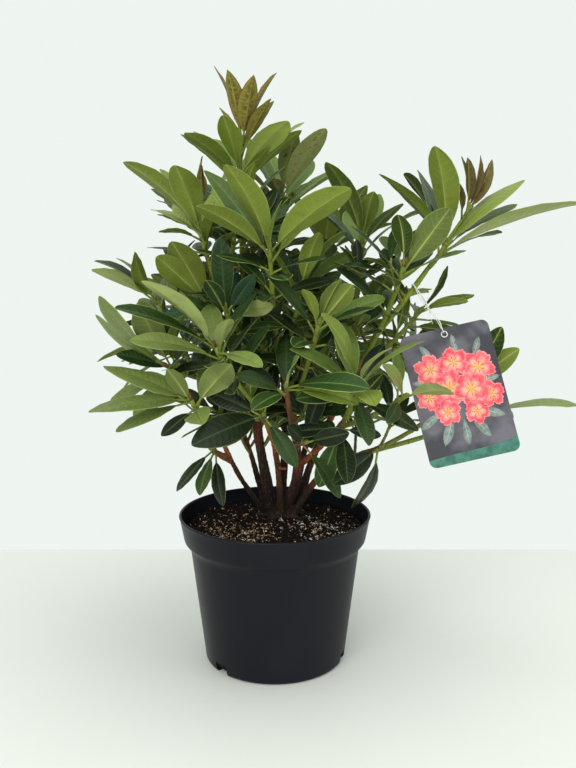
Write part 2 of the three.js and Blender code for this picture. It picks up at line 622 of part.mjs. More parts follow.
function growWhorl(whorl, seed, owner, obstacles) {
  const leaves = [];
  const bearings = [];
  const tryLeaf = (direction, length, rank, roll = 0) => {
    const next = randomSource(seed + 104729 * (rank + 1));
    const random = { roll: roll + 24 * (next() - 0.5), breadth: 0.9 + 0.2 * next(), bend: 14 + 26 * next(),
      fold: 6 + 10 * next() };
    for (let attempt = 0; attempt < ATTEMPTS; attempt += 1) {
      const leaf = leafAt(whorl, rank, direction, length, random, attempt);
      const guarded = obstacleOf(leafBody(leaf, LEAF.guard), owner);
      const blocked = obstacles.some((other) => (
        !(other.owner === owner && (other.whorl === null || other.whorl === whorl.name))
        && bodiesMeet(guarded, other)));
      if (blocked) continue;
      leaves.push(leaf);
      bearings.push(bearingIn(whorl.frame, leaf.along));
      obstacles.push(obstacleOf(leafBody(leaf), owner, whorl.name));
      return;
    }
  };
  whorl.leads.forEach(([bearing, lift, length, roll], rank) => {
    const level = new THREE.Vector3(Math.cos(bearing * DEG), Math.sin(bearing * DEG), 0);
    const direction = level.multiplyScalar(Math.cos(lift * DEG));
    direction.z = Math.sin(lift * DEG);
    tryLeaf(direction, length, rank, roll);
  });
  const apart = 230 / whorl.count;
  const next = randomSource(seed + 17);
  for (let turn = 0; turn < 40 && leaves.length < whorl.count; turn += 1) {
    const bearing = whorl.turn + GOLDEN_ANGLE * turn;
    const lift = whorl.lift + 16 * (next() - 0.5) + 14 * (0.5 - leaves.length / whorl.count);
    const length = whorl.length * (0.84 + 0.22 * next());
    if (bearings.some((taken) => bearingGap(taken, bearing) < apart)) continue;
    tryLeaf(directionIn(whorl.frame, bearing, lift), length, leaves.length);
  }
  return leaves;
}

function growShoot(spec, index, twig, obstacles) {
  const seed = 7919 * (index + 1);
  const main = { name: 'whorl', place: twig.whorl, frame: whorlFrame(twig.axis), leads: spec.leads,
    count: spec.count, length: spec.length, lift: spec.lift, turn: spec.turn, slenderness: LEAF.slenderness };
  const leaves = growWhorl(main, seed, spec.name, obstacles);
  if (spec.flush) {
    const { rise, count, length, lift, turn, leads } = spec.flush;
    const young = { name: 'flush', place: twig.whorl.clone().add(vector(rise)),
      frame: whorlFrame(twig.flushAxis), leads, count, length, lift, turn,
      slenderness: LEAF.youngSlenderness };
    leaves.push(...growWhorl(young, seed + 31, spec.name, obstacles));
  }
  return leaves;
}

// ---------------------------------------------------------------- label and its tie

// The label's own plane is X across and Y up, with its hole at the origin.
function labelPlace() {
  return new THREE.Matrix4().makeTranslation(...LABEL.hole)
    .multiply(new THREE.Matrix4().makeRotationY(-LABEL.lean * DEG))
    .multiply(new THREE.Matrix4().makeRotationX((90 - LABEL.tilt) * DEG));
}

function labelGeometry() {
  const { width, height, corner } = LABEL;
  const half = width / 2 - corner;
  const top = LABEL.holeDrop - corner;
  const bottom = LABEL.holeDrop - height + corner;
  const outline = new THREE.Shape();
  outline.absarc(half, top, corner, 0, Math.PI / 2, false);
  outline.absarc(-half, top, corner, Math.PI / 2, Math.PI, false);
  outline.absarc(-half, bottom, corner, Math.PI, 1.5 * Math.PI, false);
  outline.absarc(half, bottom, corner, 1.5 * Math.PI, 2 * Math.PI, false);
  outline.closePath();
  const hole = new THREE.Path();
  hole.absarc(0, 0, LABEL.holeRadius, 0, 2 * Math.PI, true);
  outline.holes.push(hole);
  const geometry = new THREE.ExtrudeGeometry(outline,
    { depth: LABEL.thickness, bevelEnabled: false, curveSegments: 4 });
  geometry.translate(0, 0, -LABEL.thickness / 2);
  return geometry.applyMatrix4(labelPlace());
}

// A closed loop round the bough above and through the label's hole below.
function tieBody(bough) {
  const at = bough.curve.getPoint(TIE.alongBough);
  const stem = bough.curve.getTangent(TIE.alongBough);
  const place = labelPlace();
  const low = new THREE.Vector3(0, LABEL.holeRadius - TIE.radius - TIE.play, 0).applyMatrix4(place);
  const front = new THREE.Vector3(0, 0, 1).transformDirection(place);
  const down = low.clone().sub(at);
  down.addScaledVector(stem, -down.dot(stem)).normalize();
  const across = stem.clone().cross(down).normalize();
  if (across.dot(front) < 0) across.negate();
  const boughRadius = THREE.MathUtils.lerp(bough.radii[0], bough.radii[1], TIE.alongBough);
  const upperTurn = boughRadius + CLEARANCE + TIE.radius;
  const centres = [];
  const halfTurn = (middle, radius, sideways, away) => {
    for (let i = 0; i <= TIE.turnSteps; i += 1) {
      const turn = (Math.PI * i) / TIE.turnSteps;
      centres.push(middle.clone().addScaledVector(sideways, radius * Math.cos(turn))
        .addScaledVector(away, radius * Math.sin(turn)));
    }
  };
  halfTurn(at, upperTurn, across, down.clone().negate());
  const hang = low.clone().sub(at).normalize();
  const lowMiddle = low.clone().addScaledVector(hang, -TIE.lowerTurn);
  halfTurn(lowMiddle, TIE.lowerTurn, front.clone().negate(), hang);
  return closedTube(centres, TIE.radius, TIE.sides);
}

function closedTube(centres, radius, sides) {
  const count = centres.length;
  const vertices = [];
  const faces = [];
  const middle = centres.reduce((sum, c) => sum.add(c), new THREE.Vector3()).divideScalar(count);
  centres.forEach((centre, i) => {
    const along = centres[(i + 1) % count].clone().sub(centres[(i + count - 1) % count]).normalize();
    const out = centre.clone().sub(middle);
    out.addScaledVector(along, -out.dot(along)).normalize();
    const other = along.clone().cross(out);
    for (let j = 0; j < sides; j += 1) {
      const turn = (2 * Math.PI * j) / sides;
      vertices.push(centre.clone().addScaledVector(out, radius * Math.cos(turn))
        .addScaledVector(other, radius * Math.sin(turn)));
    }
  });
  for (let i = 0; i < count; i += 1) {
    const low = i * sides;
    const high = ((i + 1) % count) * sides;
    for (let j = 0; j < sides; j += 1) {
      const k = (j + 1) % sides;
      faces.push([low + j, low + k, high + k], [low + j, high + k, high + j]);
    }
  }
  return { vertices, faces };
}

// ---------------------------------------------------------------- the whole plant

const plant = new THREE.Group();
plant.name = 'potted_rhododendron';

plant.add(meshOf('pot', makePot(), FINISH.pot));
plant.add(meshOf('potting_mix', makeMix(), FINISH.mix));
plant.add(meshOf('root_crown', solidOf(makeCrown()), FINISH.bark));

const obstacles = [];
const potRoom = tube([new THREE.Vector3(0, 0, 0), new THREE.Vector3(0, 0, POT.height + 1)],
  [POT.rimRadius + 2, POT.rimRadius + 2], 24);
obstacles.push(obstacleOf(potRoom, 'pot'));

const limbs = new Map();
const crownSeat = makeCrown(CLEARANCE);
for (const spec of STEMS) {
  const foot = new THREE.Vector3(spec.foot[0], spec.foot[1], MIX.top + 3);
  const limb = limbOf(spec, foot);
  limbs.set(spec.name, limb);
  plant.add(meshOf(spec.name, limbSolid(limb, crownSeat), FINISH.bark));
}
for (const spec of BOUGHS) {
  const parent = limbs.get(spec.parent);
  const limb = limbOf(spec, parent.curve.getPoint(spec.at));
  limbs.set(spec.name, limb);
  plant.add(meshOf(spec.name, limbSolid(limb, limbBody(parent, CLEARANCE)), FINISH.bark));
}
for (const limb of limbs.values()) obstacles.push(obstacleOf(limbBody(limb), limb.name));

const labelBody = bodyOfGeometry(labelGeometry());
plant.add(meshOf('label_card', solidOf(labelBody), FINISH.label));
obstacles.push(obstacleOf(labelBody, 'label_card'));
const loop = tieBody(limbs.get('bough_far_right'));
plant.add(meshOf('label_tie', solidOf(loop), FINISH.tie));
obstacles.push(obstacleOf(loop, 'label_tie'));

const twigs = SHOOTS.map((spec) => twigOf(spec, limbs));
twigs.forEach((twig, i) => obstacles.push(obstacleOf(twig.body, SHOOTS[i].name)));

SHOOTS.forEach((spec, i) => {
  const twig = twigs[i];
  let solid = solidOf(twig.body);
  for (const leaf of growShoot(spec, i, twig, obstacles)) solid = solid.add(solidOf(leafBody(leaf)));
  solid = solid.subtract(solidOf(limbBody(twig.limb, CLEARANCE)));
  plant.add(meshOf(spec.name, largest(solid), spec.flush ? FINISH.flush : FINISH.foliage));
});

export default plant;
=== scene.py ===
"""A young rhododendron in its round nursery pot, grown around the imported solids.

The file is laid out as an add-on and is run as a script. Lengths in the tables are in
millimetres, as in the part's source, and MM turns them into metres.
"""

import math
from dataclasses import dataclass

import bpy
from bpy.props import FloatProperty, FloatVectorProperty, IntProperty, PointerProperty
from mathutils import Matrix, Vector, noise
from mathutils.bvhtree import BVHTree
from mathutils.kdtree import KDTree


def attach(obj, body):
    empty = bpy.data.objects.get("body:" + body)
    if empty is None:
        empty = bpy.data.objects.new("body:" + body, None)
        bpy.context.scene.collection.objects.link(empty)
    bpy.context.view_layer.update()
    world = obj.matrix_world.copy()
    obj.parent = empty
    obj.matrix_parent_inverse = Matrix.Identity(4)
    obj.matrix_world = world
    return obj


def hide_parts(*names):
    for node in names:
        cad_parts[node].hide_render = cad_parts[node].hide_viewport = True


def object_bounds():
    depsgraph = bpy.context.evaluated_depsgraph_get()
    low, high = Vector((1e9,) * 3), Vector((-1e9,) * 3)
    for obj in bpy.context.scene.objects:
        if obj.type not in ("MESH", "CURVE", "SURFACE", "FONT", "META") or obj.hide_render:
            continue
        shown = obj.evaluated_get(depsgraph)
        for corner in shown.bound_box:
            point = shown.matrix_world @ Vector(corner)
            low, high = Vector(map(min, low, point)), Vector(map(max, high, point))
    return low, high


bl_info = {
    "name": "Potted rhododendron",
    "version": (1, 0, 0),
    "blender": (4, 5, 0),
    "location": "View3D > Sidebar > Rhododendron",
    "description": "Grows a young rhododendron with its pot, potting mix and hanging label",
    "category": "Object",
}

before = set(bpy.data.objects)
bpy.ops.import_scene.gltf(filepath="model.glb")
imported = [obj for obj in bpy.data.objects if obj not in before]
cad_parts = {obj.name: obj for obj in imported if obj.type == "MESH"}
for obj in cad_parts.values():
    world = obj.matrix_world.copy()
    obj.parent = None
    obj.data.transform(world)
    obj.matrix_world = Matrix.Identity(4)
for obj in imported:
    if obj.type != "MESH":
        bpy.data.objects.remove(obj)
CAD_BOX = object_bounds()
SHOOT_NODES = sorted(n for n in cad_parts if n.startswith("shoot_"))
WOOD_NODES = ["root_crown"] + sorted(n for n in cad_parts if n.startswith(("stem_", "bough_")))

MM = 0.001
BODY = "root"
GOLDEN_ANGLE = 137.5
CLEARANCE = 0.3
BOX_MARGIN = 0.002

# ---- driving dimensions

POT = {
    "height": 180, "rim_radius": 115, "wall": 2, "floor": 2.5, "foot_radius": 80,
    "heel_radius": 85.3, "heel_height": 6, "neck_radius": 101.5, "neck_height": 139,
    "collar_radius": 109.5, "collar_foot": 152, "rim_step": 1, "rim_drop": 4, "lip": 1.5,
}
NOTCH = {"bearings": (-137, -17, 103), "width": 19, "height": 13, "depth": 12}
MIX = {
    "edge_height": 161, "top": 172, "plateau": 30, "slope": 62, "ripple": 0.8, "lumps": 1.6,
    "fine": 0.8, "rings": 46, "sides": 150,
}
CROWN = {"x": 6, "y": 24, "radius": 30, "height": 14, "lobes": 7, "lobe_depth": 0.06, "sides": 42}
CROWN_OUTLINE = ((0, 0), (1, 0), (0.93, 0.3), (0.72, 0.66), (0.4, 0.9), (0, 1))
LIMB = {"sides": 14, "steps": 14, "swell": 0.07, "flare": 0.3, "grain": 0.32, "knots": 0.3}
TWIG = {"base_radius": 3, "whorl_radius": 2.6, "flush_radius": 2, "bud_length": 10, "bud_radius": 1}
LEAF = {
    "petiole": 16, "petiole_radius": 1.3, "slenderness": 0.38, "young_slenderness": 0.3,
    "broadest": 40, "root_offset": 0.8, "spacing": 2.6, "widest": (0.3, 0.68),
    "fullness": (0.94, 0.84), "guard": 1,
}
LABEL = {
    "width": 100, "height": 150, "thickness": 1, "corner": 8, "hole_radius": 2.6,
    "hole_drop": 7, "hole": (190, -46, 399), "lean": 13, "tilt": 18,
}
TIE = {
    "radius": 0.6, "along_bough": 0.72, "lower_turn": 1.8, "play": 0.5, "swing": 20,
    "forward": (0, 32, 64), "turn_points": 6, "thread": 0.38, "thread_sides": 8,
}

# Older whorls below each shoot's own. In front, where y is small, they keep higher up.
OLD_WHORLS = {
    "shares": (0.8, 0.56), "count": 4, "length": 74, "lift": 14, "front_y": 20,
    "lowest_front": 340, "lowest_back": 290,
}
SIDE_TWIG = {
    "reach": (18, 34), "rise": (18, 40), "slim": 0.62, "count": 6, "length": 58, "lift": 34,
}

STEMS = [
    ("stem_left_low", (-12, 12), ((-40, -22, 228), (-58, -50, 276)), (3.3, 2.7)),
    ("stem_left", (-12, 34), ((-39, 22, 272), (-80, -5, 342)), (3.4, 2.8)),
    ("stem_middle_left", (-4, 22), ((-22, 3, 290), (-30, 2, 400)), (6.6, 4.4)),
    ("stem_front", (8, 4), ((1, -30, 262), (-14, -84, 322)), (3.8, 2.9)),
    ("stem_middle", (14, 14), ((27, -16, 258), (3, -30, 392)), (5.8, 3.8)),
    ("stem_right", (26, 21), ((54, 2, 268), (118, -20, 398)), (5, 3.6)),
    ("stem_right_low", (22, 6), ((60, -20, 236), (126, -32, 268)), (4.2, 3.4)),
    ("stem_back_left", (-6, 44), ((-24, 72, 262), (-62, 120, 350)), (4.5, 3.2)),
    ("stem_back", (8, 42), ((12, 66, 290), (0, 78, 430)), (5, 3.3)),
    ("stem_back_right", (21, 38), ((44, 72, 262), (92, 118, 362)), (4.5, 3.2)),
]

# Pruned side twigs: the stem, where along it, the end, and the radius.
STUBS = [
    ("stem_left_low", 0.72, (-72, -46, 266), 2.2),
    ("stem_front", 0.36, (14, -26, 240), 1.8),
    ("stem_right_low", 0.42, (66, -42, 250), 2.0),
]

BOUGHS = [
    ("bough_top", "stem_middle_left", 1, ((-36, 6, 450), (-38, 8, 508)), (4, 3.2)),
    ("bough_upper_left", "stem_middle_left", 0.88, ((-48, -8, 412), (-68, -18, 462)), (3.5, 3)),
    ("bough_front_right", "stem_middle", 0.4, ((56, -38, 272), (77, -60, 302)), (3.7, 3)),
    ("bough_upper_right", "stem_right", 0.74, ((88, 10, 385), (97, 10, 440)), (3.3, 2.9)),
    ("bough_far_right", "stem_right", 1, ((146, -28, 434), (174, -24, 472)), (3.5, 3)),
]

# How old each limb's bark looks at its foot and at its tip: 0 is dark wood, 1 is green.
LIMB_AGES = {
    "stem_left_low": (0.05, 0.5), "stem_left": (0.05, 0.85), "stem_middle_left": (0.02, 0.8),
    "stem_front": (0.12, 0.8), "stem_middle": (0.12, 0.9), "stem_right": (0.04, 0.85),
    "stem_right_low": (0.04, 0.66), "stem_back_left": (0.05, 0.8), "stem_back": (0.05, 0.8),
    "stem_back_right": (0.05, 0.8), "bough_top": (0.8, 0.97), "bough_upper_left": (0.75, 0.95),
    "bough_front_right": (0.36, 0.8), "bough_upper_right": (0.75, 0.97),
    "bough_far_right": (0.85, 0.98),
}

# Leafy shoots: name, limb, share along it, whorl, leaf count, length, lift, turn, tone,
# leading leaves as (bearing, lift, length[, roll[, tone]]), and a young tip where there is one.
SHOOTS = [
    # The crown top's second leading leaf takes the bright tone, painted light on its underside.
    ("shoot_crown_top", "bough_top", 1, (-40, 10, 578), 9, 100, 44, 10, "fresh",
     ((-101, 39, 88, 0, "light"), (-53, 29, 105, 0, "bright"), (-124, 24, 102), (122, 34, 100)),
     ("young", (4, 0, 36), 7, 70, 58, 40,
      ((167, 69, 90), (-108, 60, 85), (-71, 56, 84), (0, 65, 92), (8, 57, 67, -45),
       (168, 64, 57, 50)))),
    ("shoot_front_high", "stem_middle", 1, (-4, -70, 492), 7, 108, 44, 20, "fresh",
     ((-116, 42, 122, 0, "light"), (-47, 28, 131, -30, "light"), (-135, 26, 110, 28, "light"),
      (150, 46, 105), (-167, 53, 115, -30, "mid"), (-73, 56, 76, 40, "green")), None),
    ("shoot_left_high", "bough_upper_left", 1, (-82, -22, 512), 9, 102, 42, 60, "fresh",
     ((-141, 37, 118), (-102, 39, 108), (147, 23, 80), (165, 58, 92), (-141, 10, 57)), None),
    ("shoot_back_high", "stem_back", 1, (8, 66, 556), 9, 100, 46, 140, "bronzed",
     ((-87, 54, 92), (-50, 44, 108), (-100, 18, 70)), None),
    ("shoot_inner_left", "bough_upper_left", 0.72, (-44, -16, 518), 7, 92, 44, 0, "mixed",
     ((-126, 46, 78), (-88, 22, 80)), None),
    ("shoot_far_right", "bough_far_right", 1, (194, -20, 500), 8, 104, 36, 15, "fresh",
     ((-113, 58, 117, -4, "light"), (-160, 42, 112, 0, "green"), (123, 50, 111, 8, "dark"),
      (9, 40, 121, 8, "light"), (13, 31, 104, -14, "green"), (-26, 19, 162, 21, "sage"),
      (20, 18, 84, 0, "dark"), (117, 66, 109, -6, "dark")),
     ("young_red", (26, 10, 36), 8, 60, 62, 30,
      ((-180, 81, 60, 0), (-107, 80, 60, 10), (0, 77, 66, -10), (0, 63, 69, -20),
       (-21, 61, 57, -20), (-123, 62, 50, 0)))),
    ("shoot_right_high", "bough_upper_right", 1, (102, 10, 500), 8, 98, 40, 45, "mixed",
     ((-123, 46, 118, -22, "rich"), (-80, 52, 74, 0, "green"), (59, 54, 78),
      (-58, 35, 87, 28, "rich")), None),
    ("shoot_right_middle", "stem_right", 0.88, (143, -48, 474), 7, 80, 38, 80, "mixed",
     ((-105, 47, 74, 0, "dark"), (106, 30, 72), (60, 40, 74), (-57, 43, 99, -30, "mid")), None),
    ("shoot_right_side", "stem_right", 0.84, (170, 12, 420), 7, 88, 24, 100, "deep",
     ((-36, 18, 72, 22, "green"), (-53, 14, 78, 28, "light"), (-32, 57, 69, -60, "dark")), None),
    ("shoot_front_middle", "stem_middle", 0.72, (48, -92, 414), 7, 80, 34, 20, "mixed",
     ((-63, 48, 66, 0, "olive"), (-51, 42, 69, -60, "olive"), (-111, 46, 61, 20, "green"),
      (-28, 22, 70, 0, "dark")), None),
    ("shoot_front_right", "bough_front_right", 1, (88, -108, 352), 6, 88, 32, 0, "fresh",
     ((-133, 54, 96, 0, "light"), (-59, 39, 74, 0, "sage"), (-150, 30, 92, 0, "green"),
      (-8, 37, 88, -36, "sage")), None),
    ("shoot_label_side", "bough_front_right", 0.88, (138, -98, 336), 4, 78, 18, 30, "pale",
     ((-131, 51, 74, -20, "sage"), (-56, 13, 80, 0, "sage"), (-112, -18, 50, 0, "dark"),
      (70, 36, 74, 0, "green")), None),
    ("shoot_front_hanging", "bough_front_right", 0.74, (74, -84, 302), 4, 88, -14, 200, "shaded",
     ((-87, -38, 76, 0, "dusk"), (157, -70, 74, 0, "rich"), (-175, -4, 60), (15, 5, 50)), None),
    ("shoot_right_low", "stem_right_low", 1, (224, 6, 328), 7, 90, 34, 60, "deep",
     ((-14, 61, 86, 0, "dark"), (5, 37, 84, -30, "green"), (60, 36, 92), (120, 24, 90),
      (176, 30, 88), (-140, 40, 84), (-80, 44, 60)), None),
    ("shoot_right_lower", "stem_right_low", 0.88, (244, -12, 302), 5, 80, 20, 10, "mixed",
     ((0, 6, 112, 15, "sage"), (50, -6, 84), (104, 2, 86), (158, 16, 80), (-70, 24, 54)), None),
    ("shoot_middle_high", "stem_middle", 0.9, (30, -22, 446), 7, 86, 48, 25, "mixed",
     ((-70, 50, 84), (-20, 52, 88)), None),
    ("shoot_low_centre", "stem_front", 0.55, (34, -84, 284), 4, 70, 20, 25, "shaded",
     ((-40, 18, 62), (-110, 30, 56)), None),
    ("shoot_left_front", "stem_front", 1, (-60, -112, 392), 8, 92, 34, 40, "pale",
     ((-128, 36, 122, -15, "sage"), (-144, 23, 122, -15, "rich"), (-48, 46, 52, 0, "dark"),
      (-51, -5, 75, 0, "sage"), (-73, 42, 63, -10, "sage")), None),
    ("shoot_centre_front", "stem_middle", 0.5, (14, -118, 350), 7, 80, 16, 90, "shaded",
     ((-36, 5, 100, 0, "rich"), (-20, -8, 78, 0, "light"), (-72, 48, 56, 0, "sage"),
      (-121, -6, 66, 0, "rich"), (-160, 24, 60, 0, "dark")), None),
    ("shoot_shade_leaf", "stem_front", 0.86, (-10, -104, 318), 4, 74, -6, 250, "shaded",
     ((-134, -9, 100),), None),
    ("shoot_left_lower", "stem_left_low", 1, (-88, -98, 334), 9, 96, 24, 15, "pale",
     ((-143, 0, 116, 0, "sage"), (-145, -14, 90, 6, "sage"), (170, 21, 106, 14, "sage"),
      (-120, 46, 62, 30, "moss"), (-54, 36, 92, -75, "moss"), (-136, -27, 50, -50, "dusk")), None),
    ("shoot_left_hanging", "stem_left_low", 0.8, (-68, -60, 270), 4, 62, -24, 120, "shaded",
     ((-130, -32, 66), (-104, -36, 62, 0, "mid"), (-76, -48, 66)), None),
    ("shoot_left_middle", "stem_left", 1, (-120, -40, 362), 9, 92, 34, 70, "pale",
     ((-142, 45, 115, -14, "sage"), (-173, 37, 100, -60, "moss"), (-108, 45, 111, -75, "moss"),
      (159, 36, 103, -60, "dark"), (-73, 50, 86, -45, "green"), (-162, 18, 70, 0, "dark")), None),
    ("shoot_left_upper", "stem_left", 0.86, (-136, -8, 434), 6, 90, 34, 100, "mixed",
     ((-139, 31, 90, -55, "dark"), (-164, 28, 82, 25, "sage"), (-109, 49, 80, 35, "light"),
      (150, 42, 84, 30, "green")), None),
    ("shoot_left_inner", "stem_left", 0.72, (-76, 2, 430), 9, 92, 40, 140, "fresh",
     ((-130, 35, 96, 36, "light"), (-120, 47, 101, 10, "light"), (158, 46, 96, -20, "dark"),
      (-85, 30, 62, 0, "dark")), None),
    ("shoot_middle_inner", "stem_middle_left", 0.7, (-52, -58, 424), 7, 80, 36, 180, "blue",
     ((-44, 42, 60, 70, "ink"), (-109, 37, 66, 20, "ink"), (-105, 77, 88, 30, "dark"),
      (-39, 16, 66, -75, "sage")), None),
    ("shoot_back_left_high", "stem_back", 0.86, (-78, 62, 520), 8, 96, 42, 30, "mixed",
     (), ("young", (-10, 4, 36), 5, 48, 62, 20, ())),
    ("shoot_back_middle", "stem_back", 0.94, (-24, 142, 506), 8, 104, 38, 75, "fresh", (), None),
    ("shoot_back_right_high", "stem_back", 0.78, (66, 120, 500), 8, 102, 38, 20, "mixed", (), None),
    ("shoot_back_left", "stem_back_left", 1, (-104, 150, 424), 8, 102, 32, 50, "mixed", (), None),
    ("shoot_back_left_side", "stem_back_left", 0.84, (-134, 84, 372), 7, 98, 26, 95, "mixed",
     (), None),
    ("shoot_back_left_low", "stem_back_left", 0.92, (-52, 182, 352), 6, 96, 16, 10, "deep",
     (), None),
    ("shoot_back_centre", "stem_back", 0.6, (14, 176, 420), 7, 98, 26, 5, "mixed", (), None),
    ("shoot_back_right", "stem_back_right", 1, (124, 150, 424), 8, 102, 32, 35, "mixed",
     (), None),
    ("shoot_back_right_side", "stem_back_right", 0.84, (166, 96, 362), 7, 100, 24, 110, "mixed",
     (), None),
    ("shoot_back_right_low", "stem_back_right", 0.92, (84, 184, 350), 6, 96, 14, 80, "deep",
     (), None),
    ("shoot_low_right", "stem_right_low", 0.62, (118, -56, 272), 2, 70, -20, 200, "shaded",
     ((-132, -18, 85, 10, "dusk"), (130, -63, 88, 25, "dusk")), None),
]

# ---- finishes

# Each tone deals out pairs of a leaf's upper side and its underside. leaf_dark and under_shaded are painted
# shade, near-black leaf colours; the shaded, dusk, dark, deep and inner tones deal them to leaves that lie
# in shade, most of them low down or deep in the crown. The bright tone's underside is painted light shining
# through the leaf from behind.
TONES = {
    "fresh": (("fresh", "fresh"), ("fresh", "fresh"), ("green", "fresh")),
    "mixed": (("green", "fresh"), ("deep", "fresh"), ("deep", "dull")),
    "pale": (("sage", "pale"), ("sage", "pale"), ("deep", "fresh")),
    "deep": (("deep", "dull"), ("green", "fresh"), ("dark", "dull")),
    "blue": (("blue", "dull"), ("blue", "pale"), ("deep", "fresh")),
    "shaded": (("dark", "dull"), ("deep", "pale"), ("dark", "fresh")),
    "inner": (("deep", "shaded"), ("dark", "dull"), ("rich", "dull")),
    "young_red": (("copper", "copper"), ("bronze", "copper")),
    "young": (("bronze", "bronze"),),
    "bronzed": (("green", "bronzed"),),
    "light": (("fresh", "fresh"),),
    "green": (("green", "fresh"),),
    "rich": (("rich", "dull"),),
    "olive": (("green", "olive"),),
    "sage": (("sage", "pale"),),
    "moss": (("sage", "moss"),),
    "bright": (("fresh", "bright"),),
    "dusk": (("dark", "shaded"),),
    "dark": (("deep", "shaded"),),
    "ink": (("blue", "ink"),),
    "mid": (("mid", "mid"),),
}
# leaf_dark and under_shaded are painted shade: near-black colours for leaves that lie in shade.
# under_bright is painted light: an underside lit as if light shone through the leaf from behind.
LEAF_COLOURS = {
    "leaf_fresh": (0.19, 0.255, 0.038), "leaf_green": (0.09, 0.15, 0.024),
    "leaf_deep": (0.015, 0.041, 0.0085), "leaf_blue": (0.011, 0.045, 0.021),
    "leaf_dark": (0.0055, 0.0135, 0.0045), "leaf_sage": (0.15, 0.205, 0.05),
    "leaf_bronze": (0.2, 0.17, 0.03), "leaf_copper": (0.108, 0.08, 0.028),
    "under_fresh": (0.2, 0.255, 0.041), "under_pale": (0.36, 0.42, 0.15),
    "under_dull": (0.12, 0.175, 0.036), "under_shaded": (0.038, 0.07, 0.015),
    "leaf_rich": (0.017, 0.049, 0.009), "under_olive": (0.17, 0.215, 0.045),
    "leaf_mid": (0.045, 0.08, 0.019), "under_mid": (0.12, 0.165, 0.045),
    "under_ink": (0.02, 0.058, 0.026), "under_bronze": (0.23, 0.2, 0.04),
    "under_copper": (0.122, 0.104, 0.036), "under_bronzed": (0.33, 0.335, 0.13),
    "under_bright": (0.48, 0.57, 0.13), "under_moss": (0.21, 0.265, 0.08),
}
DARK_TOPS = ("leaf_deep", "leaf_blue", "leaf_dark")
RIB_COLOURS = {
    "rib_upper": (0.13, 0.185, 0.045), "rib_dark": (0.042, 0.078, 0.026),
    "rib_under": (0.4, 0.46, 0.11), "rib_bronze": (0.3, 0.27, 0.06),
    "margin": (0.3, 0.37, 0.1), "margin_dark": (0.1, 0.15, 0.05),
    "margin_red": (0.17, 0.05, 0.025), "petiole_green": (0.22, 0.27, 0.045),
}
LEAF_SLOTS = [*LEAF_COLOURS, *RIB_COLOURS, "petiole_red"]

# Rinds and thread: the colour, the one it clouds to, roughness, and grain to the metre.
RINDS = {
    "petiole_red": ((0.3, 0.13, 0.05), (0.24, 0.24, 0.06), 0.5, 700),
    "twig_olive": ((0.22, 0.24, 0.04), (0.14, 0.16, 0.03), 0.55, 700),
    "twig_red": ((0.2, 0.07, 0.03), (0.11, 0.05, 0.022), 0.6, 700),
    "scar": ((0.2, 0.13, 0.07), (0.1, 0.07, 0.04), 0.8, 900),
    "bud_green": ((0.23, 0.26, 0.06), (0.16, 0.19, 0.05), 0.45, 700),
    "bud_brown": ((0.2, 0.11, 0.045), (0.12, 0.07, 0.03), 0.55, 700),
    "tie_white": ((0.8, 0.8, 0.77), (0.72, 0.72, 0.7), 0.5, 2600),
}

# Bark from dark old wood at 0 to green young wood at 1.
BARK_STOPS = (
    (0.0, (0.012, 0.008, 0.006)), (0.18, (0.037, 0.017, 0.011)), (0.32, (0.15, 0.04, 0.018)),
    (0.44, (0.34, 0.09, 0.027)), (0.56, (0.3, 0.15, 0.035)), (0.68, (0.22, 0.22, 0.035)),
    (0.95, (0.2, 0.26, 0.03)),
)

# Twigs are green but for these shoots' tones.
TWIG_FINISH = {"bronzed": "twig_olive", "deep": "twig_olive", "shaded": "twig_red"}

CRUMB_COLOURS = {
    "mix_dark": (0.0105, 0.007, 0.005), "mix_brown": (0.042, 0.022, 0.012),
    "mix_tan": (0.6, 0.29, 0.11), "mix_straw": (0.88, 0.62, 0.34), "mix_white": (0.95, 0.92, 0.85),
}

# Sizes of dark, brown and bright crumbs, how long they may be for their width, and the draws
# below which a crumb is brown and above which it is straw.
CRUMBS = {
    "dark": (0.8, 2.2), "brown": (0.6, 1.6), "bright": (0.35, 0.9), "longest": 2.2,
    "longest_bright": 4.2, "brown_below": 0.3, "straw_above": 0.935,
}

# Bright fibres and grit in the mix: where each patch lies and how far it reaches.
MIX_PATCHES = (
    ("mix_white", 52, -34, 46), ("mix_white", 34, -8, 32), ("mix_white", 76, -10, 32),
    ("mix_tan", -50, -26, 52), ("mix_tan", -22, -58, 42), ("mix_tan", -76, -8, 34),
    ("mix_straw", -20, -30, 34),
)
SPECKS = {
    "mix_white": ("mix_white", "mix_white", "mix_straw"),
    "mix_tan": ("mix_tan", "mix_straw", "mix_tan", "mix_white"),
    "mix_straw": ("mix_straw", "mix_tan", "mix_white"),
}
CARD_COLOURS = {
    "card_white": ((0.72, 0.73, 0.72), (0.68, 0.69, 0.68)),
    "card_ground": ((0.03, 0.03, 0.04), (0.125, 0.115, 0.14)),
    "card_coral": ((0.7, 0.045, 0.065), (0.82, 0.13, 0.14)),
    "card_rose": ((0.8, 0.13, 0.17), (0.88, 0.27, 0.27)),
    "card_peach": ((0.85, 0.28, 0.17), (0.9, 0.42, 0.26)),
    "card_gold": ((0.85, 0.47, 0.14), (0.75, 0.36, 0.1)),
    "card_red": ((0.3, 0.03, 0.02), (0.45, 0.06, 0.03)),
    "card_leaf": ((0.11, 0.15, 0.13), (0.2, 0.25, 0.23)),
    "card_rib": ((0.3, 0.35, 0.31), (0.36, 0.41, 0.37)),
    "card_band": ((0.02, 0.11, 0.08), (0.045, 0.18, 0.13)),
}

